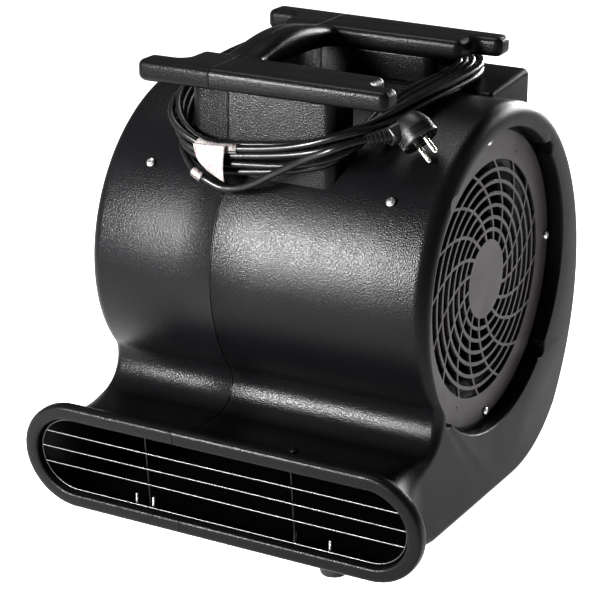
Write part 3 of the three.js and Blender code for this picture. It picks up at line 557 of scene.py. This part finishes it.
cord_path = route()
curve = bpy.data.curves.new("power_cord", "CURVE")
curve.dimensions = "3D"
curve.bevel_depth = CORD_RADIUS / 1000
curve.bevel_resolution = 4
curve.use_fill_caps = True
spline = curve.splines.new("POLY")
spline.points.add(len(cord_path) - 1)
for spot, point in zip(spline.points, cord_path):
    spot.co = (*point, 1)
spline.use_smooth = True
power_cord = add_object("power_cord", curve)
show(power_cord, CORD, replaced=("cord_lead", "cord_coil", "cord_tail"))


# Plug: a round angled head with ribbed sides, its ribbed strain relief, earth contacts and two pins
def plug_head():
    profile = [(0.001, 2.2), (13, 2.2), (13.6, 1.6), (14, 0.4), (15, 0), (17.6, 0), (18.4, 0.7), (18.6, 2)]
    for k in range(6):
        z = 3.2 + k * 1.35
        profile += [(18.6, z), (18.1, z + 0.3), (18.1, z + 0.7), (18.6, z + 1)]
    profile += [(18.4, 12.4), (17.4, 16), (16, 20), (14.2, 23.6), (11.5, 26.2), (8, 27.2), (0.001, 27.4)]
    return lathe("plug_head", profile, 72, in_plug)


def plug_neck():
    outline = rounded([(-9, 9.5, 5), (-9, -6.5, 5), (9, -6.5, 5), (9, 9.5, 5)])

    def to_point(p, height):
        return (height, p.x, PLUG_CORD_UP - 2 + p.y)

    return prism("plug_neck", outline, -PLUG_RADIUS - 6, 6, 3, 1, to_point, in_plug)


def plug_relief():
    profile = [(0.001, -8), (8, -8), (8.2, 0)]
    for k in range(6):
        z = 1.2 + k * 4.1
        radius = lerp(7.9, 5.3, k / 5.5)
        profile += [(radius, z), (radius, z + 2.4), (radius - 1.5, z + 2.8), (radius - 1.7, z + 3.6)]
    profile += [(4.9, 25.8), (4.6, 27), (0.001, 27)]
    return lathe("plug_relief", profile, 40, in_relief)


plug = merge("plug", [plug_head(), plug_neck(), plug_relief()])
show(plug, PLUG, replaced=("plug_body",))


def earth_contact(side):
    """A sprung strip in the plug's rim, bent over its edge."""
    rings = []
    bend = [(11.5, 1.7), (14.6, -0.45), (17.4, -0.5), (18.9, 0.8), (19.1, 3), (19, 8.5), (17.5, 8.7)]
    section = ((-2.4, 0), (2.4, 0), (2.4, 0.6), (-2.4, 0.6))
    for k in range(19):
        radius, height = catmull(bend, k / 18, False)
        rings.append([(side * (radius - t), y, height + t * 0.6) for y, t in section])
    return rings


contacts = merge("plug_contacts", [loft("contact", earth_contact(side), in_plug) for side in (-1, 1)])
show(contacts, PIN)

PIN_OFFSET = 9.5  # of each pin from the plug's middle
pin_profile = [(0.001, -19), (1.0, -18.9), (1.7, -18.3), (2.15, -17), (2.35, -15.5), (2.4, -14.5)]
for name, side in (("low", 1), ("high", -1)):

    def in_pin(point, offset=side * PIN_OFFSET):
        return in_plug((point[0], point[1] + offset, point[2]))

    pin = lathe("pin_" + name, [*pin_profile, (2.4, 2.5), (0.001, 2.5)], 28, in_pin)
    show(pin, PIN, replaced=("plug_pin_" + name,))


PANEL_Y, PANEL_MIDDLE_Z = 131, 159
GLAND_X, BUTTON_X, KNOB_X = 70, -15, -70
GLAND_SEGMENTS = 40


def on_panel(x):
    """Places a point, or a piece turned about Z, on the rear panel at x with its Z pointing out of it."""
    return lambda point: place((x + point[0], PANEL_Y + point[2], PANEL_MIDDLE_Z + point[1]))


def gland():
    """The cord's strain relief on the panel: a nut and four ribs round an open bore."""
    profile = [(3.6, -12), (8, -12), (8, 0.2), (10.2, 0.3), (10.5, 0.8), (10.5, 4.4), (10, 5), (7.6, 6.6)]
    for k in range(4):
        z = 8 + k * 3.7
        radius = lerp(7.3, 5.6, k / 3)
        profile += [(radius, z), (radius, z + 2.1), (radius - 1.2, z + 2.5), (radius - 1.3, z + 3.2)]
    profile += [(5, 23), (4.6, 24), (3.6, 24), (3.6, -12)]
    points = [point for radius, height in profile for point in ring_of(radius, height, GLAND_SEGMENTS)]
    return mesh_object("gland", points, grid_faces(len(profile), GLAND_SEGMENTS, True), on_panel(GLAND_X))


gland_piece = show(gland(), PLUG, replaced=("cord_gland",))


# Labels on the cord: film wrapped round it, and a flag that hangs from the wrap
def path_near(x, y, z):
    target = place((x, y, z))
    return min(range(len(cord_path)), key=lambda i: (cord_path[i] - target).length)


FILM_THICK = 0.00025  # metres, as the radius of a wrap is
WRAP_RADIUS = 0.0043


def film(made):
    made.modifiers.new("thickness", "SOLIDIFY").thickness = FILM_THICK
    return show(made, PAPER, angle=60)


def wrap(name, middle, count):
    """A sleeve of film round the cord with a lap that stands off, over count points each way."""
    at = path_near(*middle)
    rings = []
    for i in range(at - count, at + count + 1):
        along = (cord_path[i + 1] - cord_path[i - 1]).normalized()
        side = along.cross(Vector((0, 0, 1))).normalized()
        up = side.cross(along)
        ring = []
        for k in range(25):
            angle = -0.5 + 2 * math.pi * k / 24
            reach = WRAP_RADIUS + 0.0009 * smooth((k - 18) / 6)
            ring.append(cord_path[i] + side * reach * math.cos(angle) + up * reach * math.sin(angle))
        rings.append(ring)
    points = [p for ring in rings for p in ring]
    return film(mesh_object(name, points, grid_faces(len(rings), 25), Vector))


def flag(name, top_left, top_right, drop, curl, lean, taper):
    """A strip of film that hangs down from a wrap, curls, and narrows from the left as it goes."""
    rows, columns = 24, 14
    points = []
    for row in range(rows + 1):
        v = row / rows
        for column in range(columns + 1):
            u = column / columns
            base = Vector(top_left).lerp(Vector(top_right), u)
            out = curl * math.sin(math.pi * 0.9 * v) + 1.4 * math.sin(5 * v + 3 * u) * v
            across = base.x + lean * v + taper * v * (1 - u)
            points.append((across, base.y - out, base.z - (drop - 9 * (1 - u)) * v))
    return film(mesh_object(name, points, grid_faces(rows + 1, columns + 1)))


wrap_top = wrap("label_wrap", (-46, -146, 138), 2)
wrap_tail = wrap("label_wrap_tail", (-60, -150.5, 112), 3)
label_flag = flag("label_flag", (-68, -150, 139), (-33, -150, 141), 34, 5, 0.5, 15)

tuple(place(GLAND_END))


# Housing: one moulded shell with the scroll, the duct and a recess on each side
SCROLL_START, SCROLL_END = 214, -50
SCROLL_RADIUS, SCROLL_GROWTH, SCROLL_POWER = 168, 66, 3.9
TONGUE_DIP, TONGUE_FADE = 12, 8
BASE_Z, BASE_REAR_Y, DUCT_TOP_Z, TONGUE_Y = -222, 45, -126, -152
BODY_HALF = 180
SCROLL_STEPS = 150
OUTLET_Y, OUTLET_Z = -232, -168
OUTLET_TILT = math.radians(6)
SEAM_X = -43
TILT_COS, TILT_SIN = math.cos(OUTLET_TILT), math.sin(OUTLET_TILT)
UP = Vector((-TILT_SIN, TILT_COS))  # up the outlet's face, as (y, z)
MOUTH_BACK = 12.3  # the duct ends this far behind the outlet's face, against the flange
MOUTH_HALF_HEIGHT, MOUTH_HALF_SPREAD = 51.1, 30
DUCT_STATIONS = [-MOUTH_BACK, -15, -18, -21, -24, -27, -30, -34, -38, -43, -48, -54, -60, -66, -71, -76]


def outlet_point(x, up, forward):
    y = OUTLET_Y - forward * TILT_COS - up * TILT_SIN
    return x, y, OUTLET_Z - forward * TILT_SIN + up * TILT_COS


def forward_of(y, z):
    return -(y - OUTLET_Y) * TILT_COS - (z - OUTLET_Z) * TILT_SIN


def scroll_point(degrees):
    share = (SCROLL_START - degrees) / (SCROLL_START - SCROLL_END)
    dip = TONGUE_DIP * (1 - share) ** TONGUE_FADE
    return polar(SCROLL_RADIUS + SCROLL_GROWTH * share**SCROLL_POWER - dip, math.radians(degrees))


def bezier(a, b, c, d, t):
    s = 1 - t
    return tuple(
        s**3 * p + 3 * s * s * t * q + 3 * s * t * t * r + t**3 * w for p, q, r, w in zip(a, b, c, d)
    )


def half_width(forward):
    """Of the duct, which widens towards the mouth."""
    return BODY_HALF + MOUTH_HALF_SPREAD * clamp((forward + 75) / 62.7) ** 2.2


def corner_radius(forward):
    """Of the duct's long edges, which round off towards the mouth."""
    return 9 + 41 * clamp((forward + 95) / 82.7) ** 1.35


def duct_point(forward, top):
    """On the duct's top or floor at a station, as (y, z). The last stretch opens to the mouth."""
    level = DUCT_TOP_Z if top else BASE_Z
    up = (level - OUTLET_Z + forward * TILT_SIN) / TILT_COS
    mouth = MOUTH_HALF_HEIGHT if top else -MOUTH_HALF_HEIGHT
    up = lerp(up, mouth, clamp((forward + 36) / 23.7) ** 1.8)
    _, y, z = outlet_point(0, up, forward)
    return y, z


def outline_stations():
    """The side outline from the mouth's top over the scroll to the mouth's floor.

    Each station is y, z, the half width, the radius of the long edges and the direction inwards.
    """

    def duct_station(forward, top):
        y, z = duct_point(forward, top)
        return [y, z, half_width(forward), corner_radius(forward), -UP if top else UP]

    stations = [duct_station(forward, True) for forward in DUCT_STATIONS]
    line = []
    start = scroll_point(SCROLL_START)
    for k in range(1, 4):
        line.append((lerp(stations[-1][0], TONGUE_Y, k / 4), DUCT_TOP_Z))
    top, leaving = (TONGUE_Y, DUCT_TOP_Z), (TONGUE_Y + 19, DUCT_TOP_Z)
    arriving = (start[0] + 9, start[1] - 17)
    for k in range(17):
        line.append(bezier(top, leaving, arriving, start, k / 17))
    for k in range(SCROLL_STEPS + 1):
        line.append(scroll_point(lerp(SCROLL_START, SCROLL_END, k / SCROLL_STEPS)))
    end = line[-1]
    control = (end[0] - 42, BASE_Z)
    heel = (BASE_REAR_Y, BASE_Z)
    for k in range(1, 25):
        t = k / 24
        weights = ((1 - t) ** 2, 2 * t * (1 - t), t * t)
        line.append(tuple(sum(w * c for w, c in zip(weights, cs)) for cs in zip(end, control, heel)))
    floor_end = duct_point(DUCT_STATIONS[-1], False)
    for k in range(1, 10):
        line.append((lerp(BASE_REAR_Y, floor_end[0], k / 10), BASE_Z))
    for i, (y, z) in enumerate(line):
        before = line[i - 1] if i else tuple(stations[-1][:2])
        after = line[i + 1] if i + 1 < len(line) else floor_end
        along = Vector((after[0] - before[0], after[1] - before[1])).normalized()
        share = clamp(i / (len(line) - 1))
        corner = 9 + 5 * smooth(share * 3) * smooth((1 - share) * 3)
        low = clamp((-80 - z) / 30)
        corner += (corner_radius(forward_of(y, z)) - 9) * low
        stations.append([y, z, BODY_HALF, corner, Vector((along.y, -along.x))])
    return stations + [duct_station(forward, False) for forward in reversed(DUCT_STATIONS)]


def hull(name, inset, forward=None, draft=0.0, steps=8):
    """The closed body of scroll and duct, moved inwards by inset; forward carries it out of the mouth.

    draft lets both halves fall away from the parting line, and raises a low ridge there.
    """
    stations = outline_stations()
    if forward is not None:
        first, last = stations[0], stations[-1]
        push = Vector((-TILT_COS, -TILT_SIN)) * (forward + MOUTH_BACK)
        stations.insert(0, [first[0] + push.x, first[1] + push.y, *first[2:]])
        stations.append([last[0] + push.x, last[1] + push.y, *last[2:]])
    seam = [(-1.4, 0), (-0.5, 0.3), (0.5, 0.3), (1.4, 0)] if draft else [(0, 0)]
    rows = []
    for y, z, half, corner, inward in stations:
        half -= inset
        corner = max(corner - inset, 3)
        row = []
        sections = []  # x and depth below the outline, from the left edge to the right one
        for k in range(steps + 1):
            angle = math.pi / 2 * (1 - k / steps)
            sections.append((-half + corner * (1 - math.sin(angle)), corner * (1 - math.cos(angle))))
        sections += [(x, 0.0) for x in (-120, -80)]
        sections += [(SEAM_X + dx, -lift) for dx, lift in seam]
        sections += [(x, 0.0) for x in (0, 60, 120)]
        for k in range(steps + 1):
            angle = math.pi / 2 * k / steps
            sections.append((half - corner * (1 - math.sin(angle)), corner * (1 - math.cos(angle))))
        for x, deep in sections:
            deep += inset + draft * abs(x - SEAM_X)
            row.append((x, y + inward.x * deep, z + inward.y * deep))
        rows.append(row)
    count, columns = len(rows), len(rows[0])
    points = [point for row in rows for point in row]
    faces = grid_faces(count, columns)
    strips = len(DUCT_STATIONS) - 1 + (1 if forward is not None else 0)
    for column in (0, columns - 1):
        for i in range(strips):
            j = count - 1 - i
            faces.append(tuple(row * columns + column for row in (i, i + 1, j - 1, j)))
        faces.append(tuple(k * columns + column for k in range(strips, count - strips)))
    mouth = list(range(columns)) + [(count - 1) * columns + column for column in reversed(range(columns))]
    faces.append(tuple(mouth))
    return mesh_object(name, points, faces)


LOBES = [math.radians(d) for d in (45, 135, 225, 315)]
LOBE_RING = 146
RECESS_RADIUS, RECESS_LOBE, BORE_RADIUS = 148, 9, 120
WALL = 5


def recess_radius(angle, radius, lobe):
    """Of the recess at an angle: a circle with a round pocket of radius lobe at each of LOBES."""
    reach = radius
    for centre in LOBES:
        off = (angle - centre + math.pi) % (2 * math.pi) - math.pi
        across = LOBE_RING * math.sin(off)
        if abs(off) < 0.5 and abs(across) < lobe:
            reach = max(reach, LOBE_RING * math.cos(off) + math.sqrt(lobe**2 - across**2))
    return reach


def recess_tool(name, side, radius, lobe, profile, segments=360):
    """A plug for the recess in a side: a circle with four round pockets, with (x, widening) stations."""
    rings = []
    for x, wide in profile:
        ring = []
        for k in range(segments):
            angle = 2 * math.pi * k / segments
            ring.append((side * x, *polar(recess_radius(angle, radius, lobe) + wide, angle)))
        rings.append(ring)
    return loft(name, rings)


housing = hull("housing_shell", 0, draft=0.0075)
solid_hull = add_object("solid_hull", housing.data.copy())
inner = hull("inner_hull", WALL, forward=10, steps=4)
cup = [(157, 0), (186, 0)]
for side in (-1, 1):
    cut_away(inner, recess_tool("cup", side, RECESS_RADIUS + WALL, RECESS_LOBE + WALL, cup, 180))
cut_away(housing, inner)
edge = [(162, 0), (177.6, 0), (179.0, 0.5), (179.8, 1.2), (180.1, 2.4), (200, 2.4)]
for side in (-1, 1):
    cut_away(housing, recess_tool("recess", side, RECESS_RADIUS, RECESS_LOBE, edge))
bore_rings = [[(x, *polar(BORE_RADIUS, 2 * math.pi * k / 120)) for k in range(120)] for x in (-190, 190)]
cut_away(housing, loft("bore", bore_rings))
shell_nodes = ("housing_scroll", "housing_side_right", "housing_side_left")
show(housing, HOUSING, replaced=shell_nodes, angle=32)


ROUND_END_X = 160  # of the middles of the mouth's round ends


def flange():
    """The collar round the outlet, swept round its rounded-rectangle line."""
    section = [(40.5, 12), (40.5, 2.2), (41.1, 0.9), (42.4, 0.2), (43.6, 0)]
    section += [(51.2, 0), (53, 0.4), (54.3, 1.5), (55, 3.2), (55, 9.6), (54.4, 11.3), (52.8, 12)]
    rings = []
    for k in range(96):
        angle = 2 * math.pi * k / 96 - math.pi / 2 + 1e-4
        centre = ROUND_END_X if math.cos(angle) > 0 else -ROUND_END_X
        ring = []
        for radius, back in section:
            x, up = polar(radius, angle)
            ring.append(outlet_point(centre + x, up, -back))
        rings.append(ring)
    for x in (-ROUND_END_X, ROUND_END_X):
        rings.insert(48, [outlet_point(x, r, -back) for r, back in section])
    return loft("flange", rings, closed_row=True)


show(flange(), BAR_SKIN, replaced=("outlet_flange",), angle=50)

# Bars, grip and pedestals
BAR_FRONT_Y, BAR_REAR_Y = -166, 106
BAR_LOW_Z, BAR_THICK, BAR_DEPTH = 194, 22, 65
BAR_DRAFT = 0.0009  # how much a bar thins with each millimetre from the parting line


def bar(name, edge, inward, replaced):
    """A stacking bar with a horn at each end, from its outer edge inwards."""
    horn = edge + inward * 30
    deep = edge + inward * BAR_DEPTH
    corners = [(-120, edge, 8), (138, edge, 8), (138, horn, 8), (110, horn, 9)]
    corners += [(110, deep, 8), (-84, deep, 8), (-84, horn, 9), (-120, horn, 8)]
    middle_y, middle_z = edge + inward * BAR_DEPTH / 2, BAR_LOW_Z + BAR_THICK / 2

    def to_point(p, height):
        keep = 1 - BAR_DRAFT * abs(p.x - SEAM_X)
        return (p.x, middle_y + (p.y - middle_y) * keep, middle_z + (height - middle_z) * keep)

    made = prism(name, rounded(corners), BAR_LOW_Z, BAR_LOW_Z + BAR_THICK, 7, 7, to_point)
    show(made, BAR_SKIN, replaced=(replaced,), angle=50)


bar("bar_front", BAR_FRONT_Y, 1, "front_bar")
bar("bar_rear", BAR_REAR_Y, -1, "rear_bar")


def grip():
    """The arched handle between the bars, on the parting line."""
    near, far = BAR_FRONT_Y + BAR_DEPTH - 5, BAR_REAR_Y - BAR_DEPTH + 5
    rings, sides, steps = [], 40, 36
    for k in range(steps + 1):
        share = k / steps
        y = lerp(near, far, share)
        arch = math.sin(math.pi * clamp((y + 101) / 142))
        half = 14 - 4 * (1 - arch)
        middle = BAR_LOW_Z + BAR_THICK - 1 - half + 11 * arch
        flare = 5 * math.exp(-max(0, min(y - near, far - y) - 4) / 5)
        ring = []
        for i in range(sides):
            across, up = (math.copysign(abs(c) ** 0.62, c) for c in polar(1, 2 * math.pi * i / sides))
            ring.append((SEAM_X + (19 + flare) * across, y, middle + (half + 0.1 * flare) * up))
        rings.append(ring)
    return loft("grip", rings)


show(grip(), BAR_SKIN, replaced=("carry_grip",), angle=50)


def pedestal(name, left, right, near, far, replaced):
    corners = [(left, near, 12), (right, near, 12), (right, far, 12), (left, far, 12)]
    made = prism(name, rounded(corners), 60, 195, 2, 2, upright)
    cut_away(made, solid_hull, keep=True)
    show(made, HOUSING, replaced=(replaced,))


pedestal("pedestal_front", -85, 69, -128, -83, "front_pedestal")
pedestal("pedestal_rear", -72, 80, 49, 91, "rear_pedestal")


def control_box():
    outline = rounded([(42, 90, 3), (42, 169, 9), (132, 176.3, 7), (132, 90, 3)])
    made = prism("box_shell", outline, -145, 145, 5, 5, lambda p, height: (height, p.x, p.y))
    cut_away(made, solid_hull, keep=True)
    corners = ((100, 60), (150, 60), (150, 171.4), (100, 171.4))
    cut_away(made, loft("room", [[(x, y, z) for y, z in corners] for x in (-139.4, 139.4)]))
    show(made, BOX_SKIN, replaced=("control_box",))


control_box()
bpy.data.objects.remove(solid_hull)

# Inlet grilles
PLATE_RADIUS, PLATE_X = 143.6, 163.6
SCREW_RING = 138
SCREW_ANGLES = [math.radians(2 + 90 * k) for k in range(4)]
SLOT_OUTER, HUB_RADIUS, SLOT_ROWS, SLOT_COLUMNS, RIB = 116, 35, 7, 16, 3.3
SPOKE_SWEEP = math.radians(40)


def grille_angle(radius, column, share):
    """Where a slot's side is at a radius: the ribs sweep round as they go out."""
    turn = 2 * math.pi / SLOT_COLUMNS
    sweep = SPOKE_SWEEP * (radius - HUB_RADIUS) / (SLOT_OUTER - HUB_RADIUS)
    rib = RIB / 2 / radius
    return column * turn + sweep + lerp(rib, turn - rib, share)


def slot_loop(row, column):
    pitch = (SLOT_OUTER - HUB_RADIUS) / SLOT_ROWS
    outer = SLOT_OUTER - row * pitch
    inner = outer - pitch + RIB
    between = [lerp(outer, inner, 0.33), lerp(outer, inner, 0.67)]
    loop = [polar(outer, grille_angle(outer, column, k / 8)) for k in range(9)]
    loop += [polar(r, grille_angle(r, column, 1)) for r in between]
    loop += [polar(inner, grille_angle(inner, column, 1 - k / 8)) for k in range(9)]
    loop += [polar(r, grille_angle(r, column, 0)) for r in reversed(between)]
    return loop


def circle(radius, x=0.0, y=0.0, count=24):
    return [(x + a, y + b) for a, b in (polar(radius, 2 * math.pi * k / count) for k in range(count))]


def grille(name, side, replaced):
    """A flat plate with its slots, screw holes and two small holes, drawn as a filled curve."""
    flat = bpy.data.curves.new(name, "CURVE")
    flat.dimensions = "2D"
    flat.fill_mode = "BOTH"
    flat.extrude, flat.bevel_depth, flat.bevel_resolution = 1.1, 0.25, 2
    loops = [circle(PLATE_RADIUS, count=200)]
    loops += [slot_loop(row, column) for row in range(SLOT_ROWS) for column in range(SLOT_COLUMNS)]
    loops += [circle(2.4, *polar(SCREW_RING, angle), 20) for angle in SCREW_ANGLES]
    loops += [circle(1.3, *polar(126, math.radians(d)), 12) for d in (62, 242)]
    for loop in loops:
        line = flat.splines.new("POLY")
        line.points.add(len(loop) - 1)
        line.use_cyclic_u = True
        for spot, (y, z) in zip(line.points, loop):
            spot.co = (y, z, 0, 1)
    mesh = mesh_of_curve(name, flat)
    for vertex in mesh.vertices:
        y, z, up = vertex.co
        vertex.co = place((side * (PLATE_X + up), y, z))
    if side < 0:
        mesh.flip_normals()
    show(add_object(name, mesh), GRILLE, replaced=(replaced,), angle=30)


grille("grille_right", 1, "inlet_grille_right")
grille("grille_left", -1, "inlet_grille_left")


# Screws: a pan head with a cross recess, on a shank
def screw_mesh():
    profile = [(0.001, -9), (1.6, -9), (2, -8), (2, 0.3), (4.3, 0.3), (4.6, 0.6), (4.6, 1.1)]
    profile += [(4.3, 1.9), (3.4, 2.7), (2.2, 3.15), (1, 3.3), (0.001, 3.3)]

    def metres(point):
        return Vector(point) * 0.001

    head = lathe("screw_head", profile, 32, metres)
    for turn in (0, 1):
        rings = []
        for height, reach, width in ((1.2, 0.9, 0.28), (2.2, 1.6, 0.45), (4, 2.7, 0.6)):
            ring = [(-reach, -width), (reach, -width), (reach, width), (-reach, width)]
            rings.append([(x, y, height) if not turn else (-y, x, height) for x, y in ring])
        cut_away(head, loft("cross", rings, metres))
    mesh = head.data
    bpy.data.objects.remove(head)
    return mesh


SCREW = screw_mesh()


def screw(name, seat, out, spin, replaced, material=ZINC):
    """A screw on its seat, pointing out, with its cross turned by spin."""
    made = add_object(name, SCREW.copy())
    turn = Vector(out).to_track_quat("Z", "Y").to_matrix().to_4x4() @ Matrix.Rotation(spin, 4, "Z")
    made.data.transform(Matrix.Translation(place(seat)) @ turn)
    show(made, material, replaced=(replaced,), angle=40)


for name, side in (("right", 1), ("left", -1)):
    for k, angle in enumerate(SCREW_ANGLES):
        seat = (side * 165, *polar(SCREW_RING, angle))
        screw(f"screw_{name}_{k + 1}", seat, (side, 0, 0), 0.5 + 1.3 * k, f"grille_screw_{name}_{k + 1}")
for name, x in (("left", -128), ("right", 128)):
    y, z = scroll_point(140.7)
    screw("screw_drum_" + name, (x, y, z), (0, y, z), 0.4 + x * 0.01, "drum_screw_" + name)
screw("screw_duct", (74, -211, -118), (0, 0, 1), 0.3, "duct_screw", DARK_WIRE)
for name, side in (("left", -1), ("right", 1)):
    seat = (side * 133, PANEL_Y, PANEL_MIDDLE_Z)
    screw("screw_panel_" + name, seat, (0, 1, 0), 0.7 * side, "panel_screw_" + name)


# Outlet guard
GUARD_WIRE_RADIUS, GUARD_BACK, GUARD_HALF_HEIGHT = 1.0, 7, 38


def wires(name, lines, material, replaced=()):
    """Round wires along lines of (points, whether the line closes)."""
    drawn = bpy.data.curves.new(name, "CURVE")
    drawn.dimensions = "3D"
    drawn.bevel_depth = GUARD_WIRE_RADIUS / 1000
    drawn.bevel_resolution = 3
    drawn.use_fill_caps = True
    for points, cyclic in lines:
        line = drawn.splines.new("POLY")
        line.points.add(len(points) - 1)
        line.use_cyclic_u = cyclic
        for spot, point in zip(line.points, points):
            spot.co = (*place(point), 1)
    made = add_object(name, mesh_of_curve(name, drawn))
    show(made, material, replaced=replaced, angle=50)


loop = []
for end in (1, -1):
    for k in range(25):
        angle = math.pi * k / 24 - math.pi / 2
        x, up = polar(GUARD_HALF_HEIGHT, angle)
        loop.append(outlet_point(end * (ROUND_END_X + x), end * up, -GUARD_BACK))
guard_lines = [(loop, True)]
for up in (21, 4, -13):
    reach = ROUND_END_X + math.sqrt(GUARD_HALF_HEIGHT**2 - up**2)
    points = []
    for k in range(41):
        bow = 0.25 * math.sin(7 * k / 40 + up)
        points.append(outlet_point(lerp(-reach, reach, k / 40), up + bow, -GUARD_BACK))
    guard_lines.append((points, False))
wires("guard_wires", guard_lines, WIRE, ("outlet_guard",))
uprights = []
for x in (-78, 80):
    uprights.append(([outlet_point(x, up, -GUARD_BACK - 1.9) for up in (-38, -20, 0, 20, 38)], False))
wires("guard_uprights", uprights, DARK_WIRE)


def standing_at(x, y):
    """Places a piece turned about Z, with its heights in the machine's own z."""
    return lambda point: place((x + point[0], y + point[1], point[2]))


# Threaded pins through the duct's floor, behind the guard
profile = [(0.001, -219.5), (2.0, -219.5), (2.0, -214)]
for turn in range(9):
    profile += [(2.0, -213.6 + turn * 1.3), (1.7, -213 + turn * 1.3)]
profile += [(2.0, -201.6), (1.6, -200.4), (0.001, -199.6)]
for k, x in enumerate((-101, -82, 74, 111)):
    stop = lathe(f"guard_stop_{k + 1}", profile, 20, standing_at(x, -208))
    show(stop, STUD, replaced=(f"guard_pin_{k + 1}",))


# Feet, knob, button and the knob's scale
profile = [(0.001, -235.4), (4, -235.4), (4.6, -238), (10.2, -238), (11.6, -237.4), (12.6, -236)]
profile += [(13.2, -231), (13.6, -230.2), (13.9, -229), (14.5, -222.6), (14, -222.2), (0.001, -222.2)]
FEET = [("front_left", -103, -181), ("front_right", 109, -198)]
FEET += [("rear_left", -120, 24), ("rear_right", 120, 24)]
for name, x, y in FEET:
    pad = lathe("pad_" + name, profile, 48, standing_at(x, y))
    show(pad, FOOT, replaced=("foot_" + name,))


def knob():
    """The knob's stem and skirt, and its fluted sides."""
    profile = [(0.001, -7), (4.9, -7), (4.9, 0.6), (11, 1), (11, 4), (10.4, 4.8), (9.6, 14.6), (9.1, 15.7)]
    profile += [(8.2, 16), (0.001, 16)]
    rings, segments = [], 96
    for radius, height in profile:
        ring = []
        for k in range(segments):
            angle = 2 * math.pi * k / segments
            flute = 0.35 * math.cos(24 * angle) if 4.5 < height < 15 else 0
            ring.append((*polar(radius + flute, angle), height))
        rings.append(ring)
    return loft("knob", rings, on_panel(KNOB_X))


ridge = rounded([(-1.5, 1, 0.6), (1.5, 1, 0.6), (1.5, 11, 0.9), (-1.5, 11, 0.9)])
ridge_piece = prism("ridge", ridge, 4.4, 17, 0.2, 0.5, upright, on_panel(KNOB_X))
show(merge("knob_grip", [knob(), ridge_piece]), KNOB, "speed_knob", ("speed_knob",))
mark = rounded([(-0.5, 3, 0.2), (0.5, 3, 0.2), (0.5, 10.4, 0.3), (-0.5, 10.4, 0.3)])
mark_piece = prism("knob_mark", mark, 16.6, 17.15, 0.05, 0.1, upright, on_panel(KNOB_X))
show(mark_piece, INK, "speed_knob")

profile = [(0.001, -6), (5.9, -6), (5.9, 3.6), (5.5, 4.6), (4.6, 5), (2.6, 4.85), (0.001, 4.7)]
button = lathe("button_cap", profile, 40, on_panel(BUTTON_X))
show(button, BUTTON, "reset_button", ("reset_button",))

# Marks for the knob's four positions
tick = rounded([(-0.5, 13, 0.3), (0.5, 13, 0.3), (0.5, 16, 0.3), (-0.5, 16, 0.3)])
ticks = []
for k, degrees in enumerate((0, 45, 90, 135)):

    def to_point(p, height, turn=Matrix.Rotation(math.radians(degrees), 2)):
        moved = turn @ p
        return (KNOB_X - moved.x, PANEL_Y + height, PANEL_MIDDLE_Z + moved.y * 0.7)

    ticks.append(prism(f"tick_{k}", tick, -0.4, 0.15, 0.05, 0.1, to_point))
show(merge("panel_scale", ticks), INK)

# CAD nodes that keep their shape
KEPT = {
    "control_panel": PANEL,
    "bell_mouth_right": FAN,
    "motor_mount": FAN,
    "motor_body": ALLOY,
    "run_capacitor": ZINC,
    "motor_shaft": ZINC,
    "impeller_hub": ALLOY,
    "impeller_wheel": FAN,
    "speed_switch": FAN,
    "circuit_breaker": FAN,
    "motor_bolt_1": ZINC,
    "motor_bolt_2": ZINC,
    "motor_bolt_3": ZINC,
}
for name, material in KEPT.items():
    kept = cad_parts[name]
    kept.data.materials.clear()
    kept.data.materials.append(material)


# Studio: a pale floor, lamps above, on both sides and behind, and a narrow one in front to the left
floor_mesh = bpy.data.meshes.new("floor")
floor_mesh.from_pydata([(-30, -30, 0), (30, -30, 0), (30, 30, 0), (-30, 30, 0)], [], [(0, 1, 2, 3)])
floor = add_object("floor", floor_mesh)
pale = Nodes("floor_paint")
pale.shader.inputs["Emission Color"].default_value = (1, 1, 1, 1)
pale.shader.inputs["Emission Strength"].default_value = 0.7
floor_tint = pale.mix(pale.noise(2), (0.88, 0.88, 0.88), (0.92, 0.92, 0.92))
floor.data.materials.append(pale.finish(floor_tint, pale.span(pale.noise(3), 0, 1, 0.85, 0.95)))


def softbox(name, location, target, width, height, power, spread):
    """A rectangular lamp that looks at target; a small spread in degrees makes it brighter ahead."""
    light = bpy.data.lights.new(name, "AREA")
    light.shape = "RECTANGLE"
    light.size, light.size_y, light.energy = width, height, power
    light.spread = math.radians(spread)
    holder = add_object(name, light)
    holder.location = location
    holder.rotation_euler = (Vector(target) - Vector(location)).to_track_quat("-Z", "Y").to_euler()


softbox("top_light", (-0.5, 0.3, 2.4), (0, 0, 0.3), 1.2, 1.0, 7, 90)
softbox("front_strip", (-1.06, -2.5, 0.95), (0, 0, 0.3), 0.34, 1.3, 25, 50)
softbox("left_light", (-2.6, -0.9, 1.5), (0, 0, 0.3), 1.0, 1.4, 0.8, 60)
softbox("right_light", (2.4, 0.9, 1.7), (0, 0, 0.3), 0.9, 1.4, 0.6, 60)
softbox("rear_light", (0.3, 2.5, 0.75), (0, 0, 0.25), 1.6, 0.6, 8, 60)

world = bpy.data.worlds.new("studio")
world.use_nodes = True
world.node_tree.nodes["Background"].inputs["Color"].default_value = (1, 1, 1, 1)
world.node_tree.nodes["Background"].inputs["Strength"].default_value = 0.16
bpy.context.scene.world = world
bpy.context.scene.view_settings.view_transform = "Standard"
bpy.context.scene.view_settings.look = "High Contrast"
